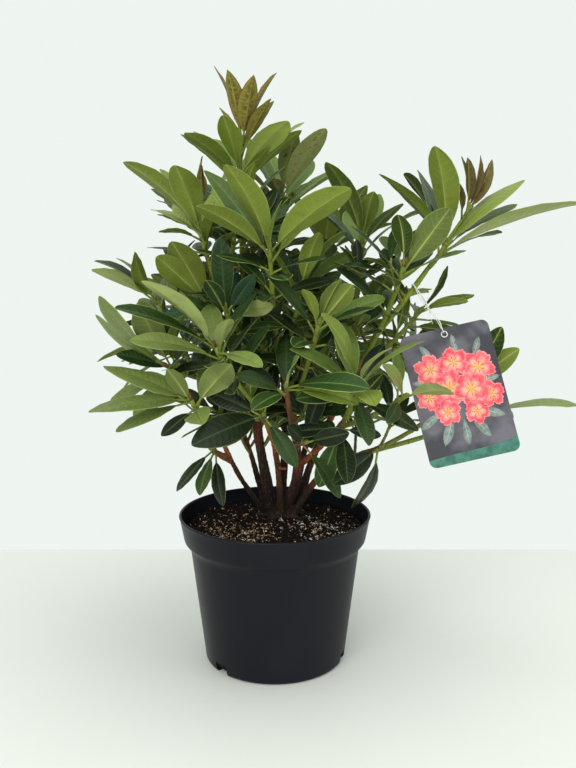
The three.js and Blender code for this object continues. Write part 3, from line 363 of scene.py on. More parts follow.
# The card's print. Blossoms: centre, reach and turn. Leaves: turn, length and foot.
BLOSSOMS = (
    ((-25, -36), 18, 10), ((27, -44), 19, 50), ((2, -33), 17, 31), ((-33, -66), 15, 64),
    ((34, -76), 15, 20), ((-9, -60), 21, 5), ((14, -66), 20, 42), ((-17, -86), 15, 25),
    ((14, -92), 14, 58),
)
SPRAY_LEAVES = (
    (-150, 30, -24, -84), (-118, 36, -12, -90), (-62, 34, 6, -92), (-24, 34, 12, -88),
    (168, 26, -22, -52), (4, 24, 24, -60), (-92, 30, -2, -96), (62, 26, 24, -34),
    (118, 26, -18, -30), (92, 24, 8, -26),
)

# A blossom's layers: size, depth of the notches between petals, and finish.
BLOSSOM_LAYERS = (
    (1.0, 0.3, "card_rose"), (0.9, 0.36, "card_coral"), (0.66, 0.5, "card_rose"),
    (0.5, 0.62, "card_peach"), (0.28, 0.7, "card_gold"),
)
PRINT = {"rise": 0.05, "step": 0.012, "sunk": 0.2, "band": 9, "band_rise": 6, "eyelet": 3.3}

# Studio lamps: name, place, size and power. All look at LAMP_AIM.
LAMPS = (
    ("key", (-0.8, -2.2, 1.5), 1.6, 34), ("top", (0.3, -0.3, 2.4), 1.6, 16),
    ("side", (1.9, -0.8, 1.2), 1.2, 6),
)
LAMP_AIM = (0.05, 0, 0.35)
CAMERA = {"place": (0.0157, -1.01, 0.493), "pitch": 81.15, "sensor": 36}
FLOOR = {"reach": 6.0, "back": 0.37}
SKY_COLOUR = (0.885, 0.945, 0.905, 1.0)


# ---- lines and frames


class Draws:
    """The same numbers every time for the same seed, as in the part's source."""

    MODULUS = 2147483647
    FACTOR = 48271

    def __init__(self, seed):
        self.state = seed % self.MODULUS
        self.next()
        self.next()

    def next(self):
        self.state = self.state * self.FACTOR % self.MODULUS
        return self.state / self.MODULUS

    def between(self, low, high):
        return low + (high - low) * self.next()


def lerp(a, b, share):
    return a + (b - a) * share


def shares_of(steps):
    """Even shares from 0 to 1."""
    return [i / steps for i in range(steps + 1)]


def turns_of(count):
    """Even turns once round, in radians."""
    return [math.tau * i / count for i in range(count)]


def square_to(direction):
    """A unit vector square to a direction, upward where it can be."""
    guide = Vector((0, 0, 1)) if abs(direction.z) < 0.9 else Vector((1, 0, 0))
    return (guide - direction * guide.dot(direction)).normalized()


class SmoothLine:
    """A curve through points, with end points carried straight on."""

    def __init__(self, points):
        first = points[0] * 2 - points[1]
        last = points[-1] * 2 - points[-2]
        self.points = [first, *points, last]

    def at(self, share):
        spans = len(self.points) - 3
        place = min(max(share, 0.0), 1.0) * spans
        i = min(int(place), spans - 1)
        t = place - i
        before, a, b, after = self.points[i:i + 4]
        go = (b - before) * 0.5
        come = (after - a) * 0.5
        return (a + go * t + (b * 3 - a * 3 - go * 2 - come) * t * t
                + (a * 2 - b * 2 + go + come) * t * t * t)

    def direction(self, share):
        step = 0.0001
        return (self.at(share + step) - self.at(share - step)).normalized()


class BentLine:
    """A curve from start to end that leans on one control point."""

    def __init__(self, start, control, end):
        self.start, self.control, self.end = start, control, end

    def at(self, t):
        return self.start * (1 - t) ** 2 + self.control * (2 * t * (1 - t)) + self.end * t * t

    def direction(self, t):
        slope = (self.control - self.start) * (1 - t) + (self.end - self.control) * t
        return slope.normalized()


def band(low, high, sides):
    """The faces between two rings of points, given the number of each one's first point."""
    return [(low + j, low + (j + 1) % sides, high + (j + 1) % sides, high + j) for j in range(sides)]


def join_rings(rings, tip=None):
    """Rings joined in turn, closed by flat caps, or by a point at the far end."""
    sides = len(rings[0])
    last = (len(rings) - 1) * sides
    points = [p for ring in rings for p in ring]
    faces = [tuple(reversed(range(sides)))]
    for low in range(0, last, sides):
        faces += band(low, low + sides, sides)
    if tip is None:
        faces.append(tuple(range(last, last + sides)))
    else:
        points.append(tip)
        faces += [(last + j, last + (j + 1) % sides, len(points) - 1) for j in range(sides)]
    return points, faces


def tube(centres, radii, sides, closed=False, tip=False):
    """A round limb through centres. closed joins its last ring to its first."""
    count = len(centres)
    side = None
    rings = []
    for i, centre in enumerate(centres):
        before = centres[(i - 1) % count if closed else max(i - 1, 0)]
        after = centres[(i + 1) % count if closed else min(i + 1, count - 1)]
        along = (after - before).normalized()
        side = square_to(along) if side is None else (side - along * side.dot(along)).normalized()
        other = along.cross(side)
        rings.append([centre + side * (radii[i] * math.cos(t)) + other * (radii[i] * math.sin(t))
                      for t in turns_of(sides)])
    if not closed:
        return join_rings(rings, centres[-1] + along * radii[-1] * 0.8 if tip else None)
    faces = [face for i in range(count) for face in band(i * sides, (i + 1) % count * sides, sides)]
    return [p for ring in rings for p in ring], faces


# ---- limbs and twigs


class Tapered:
    """Wood whose radius goes from one end's to the other's."""

    def radius(self, share):
        return lerp(self.radii[0], self.radii[1], share)

    def along(self, shares):
        """The centres and radii at some shares of its length."""
        return [self.line.at(s) for s in shares], [self.radius(s) for s in shares]


@dataclass
class Limb(Tapered):
    """A stem or bough on a smooth line."""

    name: str
    line: SmoothLine
    spans: int
    radii: tuple

    def body(self):
        return tube(*self.along(shares_of(3 * self.spans)), 5)


@dataclass
class Twig(Tapered):
    """A twig from its limb to its whorl, with a bud or a young rise at its end."""

    owner: str
    line: BentLine
    radii: tuple
    whorl: Vector
    axis: Vector
    tone: str
    rise: Vector = None

    def body(self):
        centres, radii = self.along((0, 0.34, 0.67, 1))
        if self.rise:
            centres += [self.whorl + self.rise * 0.5, self.whorl + self.rise]
            radii += [TWIG["flush_radius"]] * 2
        else:
            centres.append(self.whorl + self.axis * TWIG["bud_length"])
            radii.append(TWIG["bud_radius"])
        return tube(centres, radii, 4)


@dataclass
class Leaf:
    """One leaf: its midrib's chord from root along, arched upward, and its width."""

    root: Vector
    along: Vector
    up: Vector
    chord: float
    petiole: float
    width: float
    bend: float
    fold: float
    tone: str = "fresh"
    seed: int = 1

    def arc(self, share):
        """The midrib's place and the leaf's upward direction at a share of its length."""
        bend = math.radians(self.bend)
        arch = self.chord / (2 * math.sin(bend / 2))
        turn = bend * (share - 0.5)
        forward = self.chord / 2 + arch * math.sin(turn)
        rise = arch * (math.cos(turn) - math.cos(bend / 2))
        place = self.root + self.along * forward + self.up * rise
        return place, self.up * math.cos(turn) + self.along * math.sin(turn)

    def body(self, grow=0.0):
        """The plain three-cornered leaf that keeps room for itself."""
        across = self.along.cross(self.up)
        rib = LEAF["petiole_radius"]
        stem = self.petiole / self.chord
        stations = [(0, rib), (stem, rib)]
        for where, full in zip(LEAF["widest"], LEAF["fullness"]):
            stations.append((stem + (1 - stem) * where, self.width / 2 * full))
        rings = []
        for share, half in stations:
            centre, up = self.arc(share)
            fold = math.sin(math.radians(self.fold)) * (half - rib) + 0.6 * rib + grow
            reach = half + grow
            rings.append([centre + across * reach + up * fold, centre - up * (rib + grow),
                          centre - across * reach + up * fold])
        return join_rings(rings, self.arc(1)[0] + self.along * grow)


class Room:
    """A body that leaves keep clear of."""

    def __init__(self, body, owner, whorl=None):
        points, faces = body
        self.tree = BVHTree.FromPolygons(points, faces)
        self.low = [min(p[k] for p in points) for k in range(3)]
        self.high = [max(p[k] for p in points) for k in range(3)]
        self.owner, self.whorl = owner, whorl

    def meets(self, other):
        for k in range(3):
            if self.high[k] < other.low[k] or other.high[k] < self.low[k]:
                return False
        return bool(self.tree.overlap(other.tree))


def whorl_frame(axis):
    """A whorl's own directions: its axis, east and north."""
    east = (Vector((1, 0, 0)) - axis * axis.x).normalized()
    return axis, east, axis.cross(east)


def direction_in(place, bearing, lift):
    """The direction at a bearing and a lift in a whorl's own directions."""
    axis, east, north = place
    b, a = math.radians(bearing), math.radians(lift)
    return east * (math.cos(b) * math.cos(a)) + north * (math.sin(b) * math.cos(a)) + axis * math.sin(a)


def bearing_gap(a, b):
    turn = abs(a - b) % 360
    return min(turn, 360 - turn)


@dataclass
class Whorl:
    """Leaves to be grown round one place on a twig, leading ones first."""

    kind: str
    owner: str
    name: str
    place: Vector
    axis: Vector
    leads: tuple
    count: int
    length: float
    lift: float
    turn: float
    seed: int
    tone: str

    @property
    def slenderness(self):
        return LEAF["young_slenderness" if self.kind == "young" else "slenderness"]


# A leaf's tries for room, as swing and nudge in degrees. After the full-length ones it is shorter.
ATTEMPTS = ((0, 0), (9, 0), (-9, 0), (18, 0), (-18, 0), (6, 14), (-6, -14))
FULL_LENGTH_TRIES = 3
SHORTENED = 0.92

# A whorl tries this many golden turns, and keeps SPREAD / count degrees between its leaves.
GOLDEN_STEPS = 40
SPREAD = 230


def open_crown(place):
    """The crown above the bare stems, but for its far right."""
    return place.z >= 300 and place.x <= 150


def deep_crown(place):
    """The dense shaded part of the crown, which narrows upward."""
    broad = 125 - 0.7 * max(0, place.z - 430)
    return 275 <= place.z <= 505 and abs(place.x) <= broad and place.y > -5


# Passes of side twigs: steps along each limb, share of the first, share from one to the next,
# factors for the seeds of twigs and leaves, and the part of the crown that takes them.
SIDE_PASSES = (
    (range(9), 0.32, 0.08, 9137, 6007, open_crown),
    (range(9, 27), 0.26, 0.042, 4421, 3361, deep_crown),
)


class Plant:
    """Every limb, twig and leaf, grown by the source's rule and then filled out inside."""

    def __init__(self):
        self.limbs = {}
        self.twigs = []
        self.leaves = {"outer": [], "young": [], "inner": []}
        self.rooms = []
        self.grow_limbs()
        self.keep_rooms()
        self.grow_shoots()
        self.fill_out()

    def add_limb(self, name, start, path, radii):
        line = SmoothLine([start, *map(Vector, path)])
        self.limbs[name] = Limb(name, line, len(path), radii)

    def grow_limbs(self):
        for name, foot, path, radii in STEMS:
            self.add_limb(name, Vector((*foot, MIX["top"] + 3)), path, radii)
        for name, parent, share, path, radii in BOUGHS:
            self.add_limb(name, self.limbs[parent].line.at(share), path, radii)

    def keep_rooms(self):
        reach = POT["rim_radius"] + 2
        pot = tube([Vector((0, 0, 0)), Vector((0, 0, POT["height"] + 1))], [reach, reach], 24)
        self.rooms.append(Room(pot, "pot"))
        for limb in self.limbs.values():
            self.rooms.append(Room(limb.body(), limb.name))
        self.rooms.append(Room(label_body(), "label_card"))
        loop = tie_loop(self.limbs)
        self.rooms.append(Room(tube(loop, [TIE["radius"]] * len(loop), 4, closed=True), "label_tie"))
        for name, limb, share, whorl, _, _, _, _, tone, _, flush in SHOOTS:
            rise = Vector(flush[1]) if flush else None
            self.add_twig(self.twig_to(name, limb, share, Vector(whorl), tone, rise))

    def add_twig(self, twig):
        self.twigs.append(twig)
        self.rooms.append(Room(twig.body(), twig.owner))

    def twig_to(self, owner, limb, share, whorl, tone, rise=None, slim=1.0):
        """A twig that leaves its limb and bends upward to its whorl."""
        start = self.limbs[limb].line.at(share)
        control = Vector((lerp(start.x, whorl.x, 0.6), lerp(start.y, whorl.y, 0.6),
                          lerp(start.z, whorl.z, 0.4)))
        radii = (TWIG["base_radius"] * slim, TWIG["whorl_radius"] * slim)
        axis = (whorl - control).normalized()
        return Twig(owner, BentLine(start, control, whorl), radii, whorl, axis, tone, rise)

    def grow_shoots(self):
        for i, (name, _, _, _, count, length, lift, turn, tone, leads, flush) in enumerate(SHOOTS):
            twig = self.twigs[i]
            seed = 7919 * (i + 1)
            self.grow_whorl(Whorl("outer", name, "whorl", twig.whorl, twig.axis, leads, count,
                                  length, lift, turn, seed, tone))
            if flush:
                tone, _, count, length, lift, turn, leads = flush
                self.grow_whorl(Whorl("young", name, "flush", twig.whorl + twig.rise,
                                      twig.rise.normalized(), leads, count, length, lift, turn,
                                      seed + 31, tone))

    def leaf_at(self, whorl, rank, direction, length, looks, attempt):
        """The leaf as it would lie at one of its tries."""
        swing, nudge = ATTEMPTS[attempt]
        axis = whorl.axis
        along = direction.copy()
        along.rotate(Matrix.Rotation(math.radians(swing), 3, axis))
        along.rotate(Matrix.Rotation(math.radians(nudge), 3, along.cross(axis).normalized()))
        along.normalize()
        up = (axis - along * axis.dot(along)).normalized()
        up.rotate(Matrix.Rotation(math.radians(looks["roll"]), 3, along))
        chord = length * (1 if attempt < FULL_LENGTH_TRIES else SHORTENED)
        petiole = min(LEAF["petiole"], 0.2 * chord)
        outward = (along - axis * along.dot(axis)).normalized()
        root = whorl.place - axis * (LEAF["spacing"] * rank) + outward * LEAF["root_offset"]
        width = min((chord - petiole) * whorl.slenderness * looks["breadth"], LEAF["broadest"])
        return Leaf(root, along, up, chord, petiole, width, looks["bend"], looks["fold"])

    def try_leaf(self, whorl, rank, direction, length, tone, roll=0.0):
        """Adds the leaf at the first try that has room, and returns it, or None."""
        draws = Draws(whorl.seed + 104729 * (rank + 1))
        looks = {"roll": roll + 24 * (draws.next() - 0.5), "breadth": 0.9 + 0.2 * draws.next(),
                 "bend": 14 + 26 * draws.next(), "fold": 6 + 10 * draws.next()}
        for attempt in range(len(ATTEMPTS)):
            leaf = self.leaf_at(whorl, rank, direction, length, looks, attempt)
            guarded = Room(leaf.body(LEAF["guard"]), whorl.owner)
            if not self.inside(leaf) or any(self.blocks(room, guarded, whorl) for room in self.rooms):
                continue
            leaf.tone = tone
            leaf.seed = whorl.seed + 31 * rank
            self.leaves[whorl.kind].append(leaf)
            self.rooms.append(Room(leaf.body(), whorl.owner, whorl.name))
            return leaf
        return None

    def blocks(self, room, guarded, whorl):
        """Whether a room stops the leaf. Its own twig and its own whorl don't."""
        if room.owner == guarded.owner and room.whorl in (None, whorl.name):
            return False
        return guarded.meets(room)

    def inside(self, leaf):
        """Whether the leaf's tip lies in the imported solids' box."""
        low, high = CAD_BOX
        tip = leaf.arc(1)[0] * MM
        return all(low[k] - BOX_MARGIN <= tip[k] <= high[k] + BOX_MARGIN for k in range(3))

    def grow_whorl(self, whorl):
        """The leading leaves first, then others a golden turn apart where they have room."""
        grown = []
        frame_here = whorl_frame(whorl.axis)
        _, east, north = frame_here

        def keep(leaf):
            if leaf:
                grown.append(math.degrees(math.atan2(leaf.along.dot(north), leaf.along.dot(east))))

        for rank, (bearing, rise, reach, *looks) in enumerate(whorl.leads):
            bearing, rise = math.radians(bearing), math.radians(rise)
            direction = Vector((math.cos(bearing) * math.cos(rise), math.sin(bearing) * math.cos(rise),
                                math.sin(rise)))
            roll, tone = looks + [0.0, whorl.tone][len(looks):]
            keep(self.try_leaf(whorl, rank, direction, reach, tone, roll))
        apart = SPREAD / whorl.count
        draws = Draws(whorl.seed + 17)
        for step in range(GOLDEN_STEPS):
            if len(grown) >= whorl.count:
                break
            bearing = whorl.turn + GOLDEN_ANGLE * step
            raised = whorl.lift + 16 * (draws.next() - 0.5) + 14 * (0.5 - len(grown) / whorl.count)
            reach = whorl.length * (0.84 + 0.22 * draws.next())
            if any(bearing_gap(taken, bearing) < apart for taken in grown):
                continue
            direction = direction_in(frame_here, bearing, raised)
            keep(self.try_leaf(whorl, len(grown), direction, reach, whorl.tone))

    def fill_out(self):
        """Older leaves lower on each twig, and short side twigs along the limbs."""
        hung = tie_loop(self.limbs)
        for forward in TIE["forward"]:
            ends = [p + Vector((0, -forward, 0)) for p in (hung[0].lerp(hung[-1], 0.15), hung[-1])]
            self.rooms.append(Room(tube(ends, [TIE["swing"]] * 2, 10), "label_tie"))
        for i, twig in enumerate(list(self.twigs)):
            for level, share in enumerate(OLD_WHORLS["shares"]):
                place = twig.line.at(share)
                side = "front" if place.y < OLD_WHORLS["front_y"] else "back"
                if place.z < OLD_WHORLS["lowest_" + side]:
                    continue
                # The inner tone deals darker leaf colours here, painted shade inside the crown.
                self.grow_whorl(Whorl("inner", twig.owner, f"old{level}", place,
                                      twig.line.direction(share), (), OLD_WHORLS["count"] - level,
                                      OLD_WHORLS["length"], OLD_WHORLS["lift"], 67 * i + 50 * level,
                                      5003 * (i + 1) + level, "inner"))
        for steps, first, apart, twig_seed, leaf_seed, fits in SIDE_PASSES:
            for k, limb in enumerate(self.limbs.values()):
                draws = Draws(twig_seed * (k + 1))
                for step in steps:
                    share = first + apart * (step - steps[0])
                    self.side_twig(limb, step, share, draws, leaf_seed * (k + 1) + step, fits)

    def side_twig(self, limb, step, share, draws, seed, fits):
        """A short twig with its whorl, where it fits and has room."""
        bearing = math.radians(draws.between(0, 360))
        reach = draws.between(*SIDE_TWIG["reach"])
        rise = draws.between(*SIDE_TWIG["rise"])
        whorl = limb.line.at(share) + Vector((math.cos(bearing) * reach, math.sin(bearing) * reach, rise))
        if not fits(whorl):
            return
        name = f"side_{limb.name}_{step}"
        twig = self.twig_to(name, limb.name, share, whorl, "deep", slim=SIDE_TWIG["slim"])
        room = Room(twig.body(), name)
        if any(other.owner != limb.name and room.meets(other) for other in self.rooms):
            return
        self.twigs.append(twig)
        self.rooms.append(room)
        # The inner tone deals darker leaf colours here, painted shade inside the crown.
        self.grow_whorl(Whorl("inner", name, "whorl", whorl, twig.axis, (), SIDE_TWIG["count"],
                              SIDE_TWIG["length"], SIDE_TWIG["lift"], draws.between(0, 180), seed,
                              "inner"))


# ---- label and tie places


def label_place():
    """The card's frame: its origin in the hole, leaned and tilted."""
    hole = Matrix.Translation(Vector(LABEL["hole"]))
    lean = Matrix.Rotation(-math.radians(LABEL["lean"]), 4, "Y")
    return hole @ lean @ Matrix.Rotation(math.radians(90 - LABEL["tilt"]), 4, "X")


def label_body():
    """The plain card that keeps room for itself."""
    half, thick = LABEL["width"] / 2, LABEL["thickness"] / 2
    top, bottom = LABEL["hole_drop"], LABEL["hole_drop"] - LABEL["height"]
    place = label_place()
    corners = ((-half, bottom), (half, bottom), (half, top), (-half, top))
    rings = [[place @ Vector((x, y, z)) for x, y in corners] for z in (-thick, thick)]
    return join_rings(rings)


def tie_loop(limbs):
    """The tie's closed line: a half turn over the bough and one through the label's hole."""
    bough = limbs["bough_far_right"]
    share = TIE["along_bough"]
    at, stem = bough.line.at(share), bough.line.direction(share)
    place = label_place()
    low = place @ Vector((0, LABEL["hole_radius"] - TIE["radius"] - TIE["play"], 0))
    front = (place.to_3x3() @ Vector((0, 0, 1))).normalized()
    down = low - at
    down = (down - stem * down.dot(stem)).normalized()
    across = stem.cross(down).normalized()
    if across.dot(front) < 0:
        across.negate()
    upper = bough.radius(share) + CLEARANCE + TIE["radius"]
    hang = (low - at).normalized()
    low_middle = low - hang * TIE["lower_turn"]
    turns = [math.pi * i / (TIE["turn_points"] - 1) for i in range(TIE["turn_points"])]
    line = [at + across * (upper * math.cos(t)) - down * (upper * math.sin(t)) for t in turns]
    turn = TIE["lower_turn"]
    line += [low_middle - front * (turn * math.cos(t)) + hang * (turn * math.sin(t)) for t in turns]
    return line


# ---- meshes


class Shape:
    """Points and faces of one piece, with each face's finish and each point's tone."""

    def __init__(self, slots):
        self.slots = list(slots)
        self.points, self.faces, self.finish, self.uvs, self.tones = [], [], [], [], []

    def add(self, points, faces, finish, uvs=None, tone=0.5):
        """finish is one slot name, or a list with one for each face."""
        start = len(self.points)
        self.points += [tuple(p * MM) for p in points]
        self.faces += [tuple(start + i for i in f) for f in faces]
        names = [finish] * len(faces) if isinstance(finish, str) else finish
        self.finish += [self.slots.index(name) for name in names]
        self.uvs += uvs or [(0.5, 0.5)] * len(points)
        self.tones += [tone] * len(points)

    def piece(self, name, finishes, smooth=True):
        mesh = bpy.data.meshes.new(name)
        mesh.from_pydata(self.points, [], self.faces)
        for slot in self.slots:
            mesh.materials.append(finishes[slot])
        mesh.polygons.foreach_set("material_index", self.finish)
        mesh.polygons.foreach_set("use_smooth", [smooth] * len(self.faces))
        layer = mesh.uv_layers.new(name="UVMap")
        corners = [0] * len(mesh.loops)
        mesh.loops.foreach_get("vertex_index", corners)
        layer.data.foreach_set("uv", [c for i in corners for c in self.uvs[i]])
        tone = mesh.attributes.new("tone", "FLOAT", "POINT")
        tone.data.foreach_set("value", self.tones)
        mesh.validate()
        mesh.update()
        piece = bpy.data.objects.new(name, mesh)
        bpy.context.scene.collection.objects.link(piece)
        return piece


def dress(piece, slot, *nodes):
    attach(piece, BODY)
    if nodes:
        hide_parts(*nodes)
    return piece


# Places across a blade, from edge to edge, and along it, from foot to tip.
COLUMNS = (-1, -0.945, -0.76, -0.5, -0.25, -0.06, 0.06, 0.25, 0.5, 0.76, 0.945, 1)
ROWS = (0, 0.03, 0.09, 0.17, 0.27, 0.38, 0.5, 0.61, 0.72, 0.82, 0.9, 0.955, 0.985, 1)
INNER_COLUMNS = (-1, -0.93, -0.5, -0.06, 0.06, 0.5, 0.93, 1)
INNER_ROWS = (0, 0.06, 0.17, 0.34, 0.5, 0.66, 0.82, 0.93, 0.985, 1)
RIB_COLUMNS = (-0.06, 0.06)
PETIOLE_SIDES = 6
BLADE_THICKNESS = 0.42


def is_young(leaf):
    return leaf.tone.startswith("young")


def blade_half(leaf, v):
    """Half the blade's width at v, from its foot to its tip."""
    pinch, lean = (0.85, 0.9) if is_young(leaf) else (0.62, 1.14)
    full = math.sin(math.pi * v ** lean) ** pinch if 0 < v < 1 else 0.0
    least = lerp(LEAF["petiole_radius"] * 0.8, 0.25, v)
    return max(least, leaf.width / 2 * full)


def blade_grids(leaf, draws, rows, columns):
    """The upper and lower faces' points, row by row, with the place of each on the blade."""
    young = is_young(leaf)
    roll = draws.between(-0.3, -0.1) if young else draws.between(0.02, 0.2)
    twist = math.radians(draws.between(-14, 14))
    wave, phase = draws.between(0.0, 0.6), draws.between(0, math.tau)
    across = leaf.along.cross(leaf.up)
    stem = leaf.petiole / leaf.chord
    fold = math.sin(math.radians(leaf.fold))
    rib = LEAF["petiole_radius"]
    upper, under, uvs = [], [], []
    for v in rows:
        centre, up = leaf.arc(stem + (1 - stem) * v)
        half = blade_half(leaf, v)
        turn = twist * (v - 0.3) * 2
        side = across * math.cos(turn) + up * math.sin(turn)
        lift = up * math.cos(turn) - across * math.sin(turn)
        rib_share = min(0.24, lerp(1.15, 0.35, v) / half)
        for column in columns:
            on_rib = column in RIB_COLUMNS
            u = math.copysign(rib_share, column) if on_rib else column
            x = abs(u)
            rise = fold * x * half - roll * half * x ** 2.6 + 0.4 * rib * (1 - v)
            rise += wave * math.sin(9 * v + phase + u) * x * x
            rise += 0.3 * math.sin(31 * v + 2.2 * u + phase) * x ** 3
            groove = 0.35 * (1 - v) if on_rib else 0.0
            bulge = rib * 0.8 * (1 - v) ** 0.7 if on_rib else 0.0
            place = centre + side * (u * half) + lift * rise
            upper.append(place - lift * groove)
            under.append(place - lift * (BLADE_THICKNESS * (1 - 0.5 * x) + bulge))
            uvs.append(((u + 1) / 2, v))
    return upper, under, uvs


def add_leaf(shape, leaf, rows, columns):
    """A petiole, and a thin blade with its groove, rib, pale edges and two sides."""
    draws = Draws(leaf.seed * 13 + 7)
    pairs = TONES[leaf.tone]
    sides = pairs[int(draws.next() * len(pairs)) % len(pairs)]
    top, bottom = "leaf_" + sides[0], "under_" + sides[1]
    tone = draws.next()
    upper, under, uvs = blade_grids(leaf, draws, rows, columns)
    young, dark = is_young(leaf), top in DARK_TOPS
    edge = "margin_red" if young else "margin"
    brim = "margin_dark" if dark else edge
    ribs = ("rib_bronze", "rib_bronze") if young else ("rib_dark" if dark else "rib_upper", "rib_under")
    width, count = len(columns), len(upper)
    middle = width // 2 - 1
    faces, finish = [], []
    for i in range(len(rows) - 1):
        for j in range(width - 1):
            a = i * width + j
            b = a + width
            faces += [(a, b, b + 1, a + 1), (count + a, count + a + 1, count + b + 1, count + b)]
            if j == middle:
                finish += ribs
            elif j in (0, width - 2):
                finish += [brim, edge]
            else:
                finish += [top, bottom]
        for a, b in ((i * width, (i + 1) * width), ((i + 2) * width - 1, (i + 1) * width - 1)):
            faces.append((a, count + a, count + b, b))
            finish.append(edge)
    last = (len(rows) - 1) * width
    for j in range(width - 1):
        end = last + j
        faces += [(j, j + 1, count + j + 1, count + j), (end + 1, end, count + end, count + end + 1)]
        finish += [bottom, edge]
    shape.add(upper + under, faces, finish, uvs * 2, tone)
    stem = leaf.petiole / leaf.chord
    rib = LEAF["petiole_radius"]
    centres = [leaf.arc(stem * s)[0] for s in (0, 0.35, 0.7, 1, 1.12)]
    radii = [rib * 1.35, rib, rib * 0.92, rib * 0.95, rib * 0.5]
    red = leaf.tone in ("pale", "shaded") and draws.next() < 0.6
    shape.add(*tube(centres, radii, PETIOLE_SIDES), "petiole_red" if red else "petiole_green", tone=tone)


# ---- shader groups and finishes


def group(name, inputs, outputs):
    """A new shader group of plain values: its tree, what it is given and what it puts out."""
    tree = bpy.data.node_groups.new(name, "ShaderNodeTree")
    for label, default in inputs.items():
        socket = tree.interface.new_socket(label, in_out="INPUT", socket_type="NodeSocketFloat")
        socket.default_value = default
    for label in outputs:
        tree.interface.new_socket(label, in_out="OUTPUT", socket_type="NodeSocketFloat")
    return tree, tree.nodes.new("NodeGroupInput").outputs, tree.nodes.new("NodeGroupOutput").inputs


def put_out(tree, out, **sockets):
    for label, socket in sockets.items():
        tree.links.new(socket, out[label])
    return tree


def node(tree, kind, values=None, **settings):
    """Adds a node, sets its properties, and joins or fills its inputs."""
    made = tree.nodes.new("ShaderNode" + kind)
    for key, value in settings.items():
        setattr(made, key, value)
    for key, value in (values or {}).items():
        if isinstance(value, bpy.types.NodeSocket):
            tree.links.new(value, made.inputs[key])
        else:
            made.inputs[key].default_value = value
    return made


def maths(tree, operation, a, b=0.0):
    return node(tree, "Math", {0: a, 1: b}, operation=operation).outputs[0]


def plus(tree, a, b):
    return maths(tree, "ADD", a, b)


def times(tree, a, b):
    return maths(tree, "MULTIPLY", a, b)


def noise_at(tree, scale, detail, **values):
    """A noise texture's factor, by default in the piece's own bounds."""
    return node(tree, "TexNoise", {"Scale": scale, "Detail": detail, **values}).outputs["Fac"]


def remap(tree, value, low, high, to_low=0.0, to_high=1.0):
    made = node(tree, "MapRange", {"Value": value, "From Min": low, "From Max": high, "To Min": to_low,
                                   "To Max": to_high}, interpolation_type="SMOOTHSTEP")
    return made.outputs["Result"]


def make_vein_group():
    """Side veins that leave the midrib at a slant, and the soft quilting between them."""
    tree, given, out = group("Leaf veins", {"Pairs": 11, "Slant": 3.2, "Sharpness": 0.1},
                             ("Veins", "Quilt", "Mottle", "Away"))
    flat = node(tree, "UVMap", uv_map="UVMap").outputs["UV"]
    across, along = node(tree, "SeparateXYZ", {0: flat}).outputs[:2]
    away = maths(tree, "ABSOLUTE", maths(tree, "SUBTRACT", across, 0.5))
    slant = times(tree, maths(tree, "POWER", away, 1.3), given["Slant"])
    line = maths(tree, "SUBTRACT", times(tree, along, given["Pairs"]), slant)
    line = plus(tree, line, times(tree, noise_at(tree, 45.0, 2.0), 0.8))
    gap = maths(tree, "ABSOLUTE", maths(tree, "SUBTRACT", maths(tree, "FRACT", line), 0.5))
    fade = remap(tree, away, 0.5, 0.22, 0.25, 1.0)
    return put_out(tree, out, Veins=times(tree, remap(tree, gap, given["Sharpness"], 0.0), fade),
                   Quilt=remap(tree, gap, 0.0, 0.5), Mottle=noise_at(tree, 260.0, 4.0, Roughness=0.6),
                   Away=times(tree, away, 2.0))


def make_grain_group():
    """Fine grain and specks over a broader cloud, all in the piece's own space."""
    tree, given, out = group("Grain", {"Fine": 900.0, "Broad": 40.0, "Stretch": 1.0},
                             ("Grain", "Cloud", "Specks"))
    place = node(tree, "TexCoord").outputs["Object"]
    scale = node(tree, "CombineXYZ", {0: 1.0, 1: 1.0, 2: given["Stretch"]}).outputs[0]
    drawn = node(tree, "VectorMath", {0: place, 1: scale}, operation="MULTIPLY").outputs[0]
    dots = node(tree, "TexVoronoi", {"Vector": drawn, "Scale": given["Fine"]}).outputs["Distance"]
    return put_out(tree, out, Grain=noise_at(tree, given["Fine"], 4.0, Vector=drawn),
                   Cloud=noise_at(tree, given["Broad"], 3.0, Vector=drawn),
                   Specks=remap(tree, dots, 0.35, 0.1))


@dataclass
class Finish:
    """A material under way: its tree, its shader and the nodes that feed it."""

    name: str
    roughness: float = 0.5
    specular: float = 0.5

    def __post_init__(self):
        self.material = bpy.data.materials.new(self.name)
        self.material.use_nodes = True
        self.tree = self.material.node_tree
        self.shader = self.tree.nodes["Principled BSDF"]
        self.shader.inputs["Roughness"].default_value = self.roughness
        self.shader.inputs["Specular IOR Level"].default_value = self.specular

    def place(self, made_group, **values):
        """Adds a group, fills its inputs and gives its outputs."""
        made = self.tree.nodes.new("ShaderNodeGroup")
        made.node_tree = made_group
        for key, value in values.items():
            made.inputs[key].default_value = value
        return made.outputs

    def mix(self, share, a, b):
        """One colour laid over another by a share. Each may be a socket or a plain value."""
        made = self.tree.nodes.new("ShaderNodeMix")
        made.data_type = "RGBA"
        colours = [s for s in made.inputs if s.type == "RGBA"]
        for socket, value in ((made.inputs[0], share), (colours[0], a), (colours[1], b)):
            if isinstance(value, bpy.types.NodeSocket):
                self.tree.links.new(value, socket)
            else:
                socket.default_value = (*value, 1.0)
        return next(s for s in made.outputs if s.type == "RGBA")

    def colour(self, socket):
        self.tree.links.new(socket, self.shader.inputs["Base Color"])

    def rough(self, socket):
        self.tree.links.new(socket, self.shader.inputs["Roughness"])

    def bump(self, height, strength, distance=0.001):
        made = node(self.tree, "Bump", {"Height": height, "Strength": strength, "Distance": distance})
        self.tree.links.new(made.outputs["Normal"], self.shader.inputs["Normal"])


def shade(colour, factor):
    """A darker or lighter colour."""
    return tuple(c * factor for c in colour)


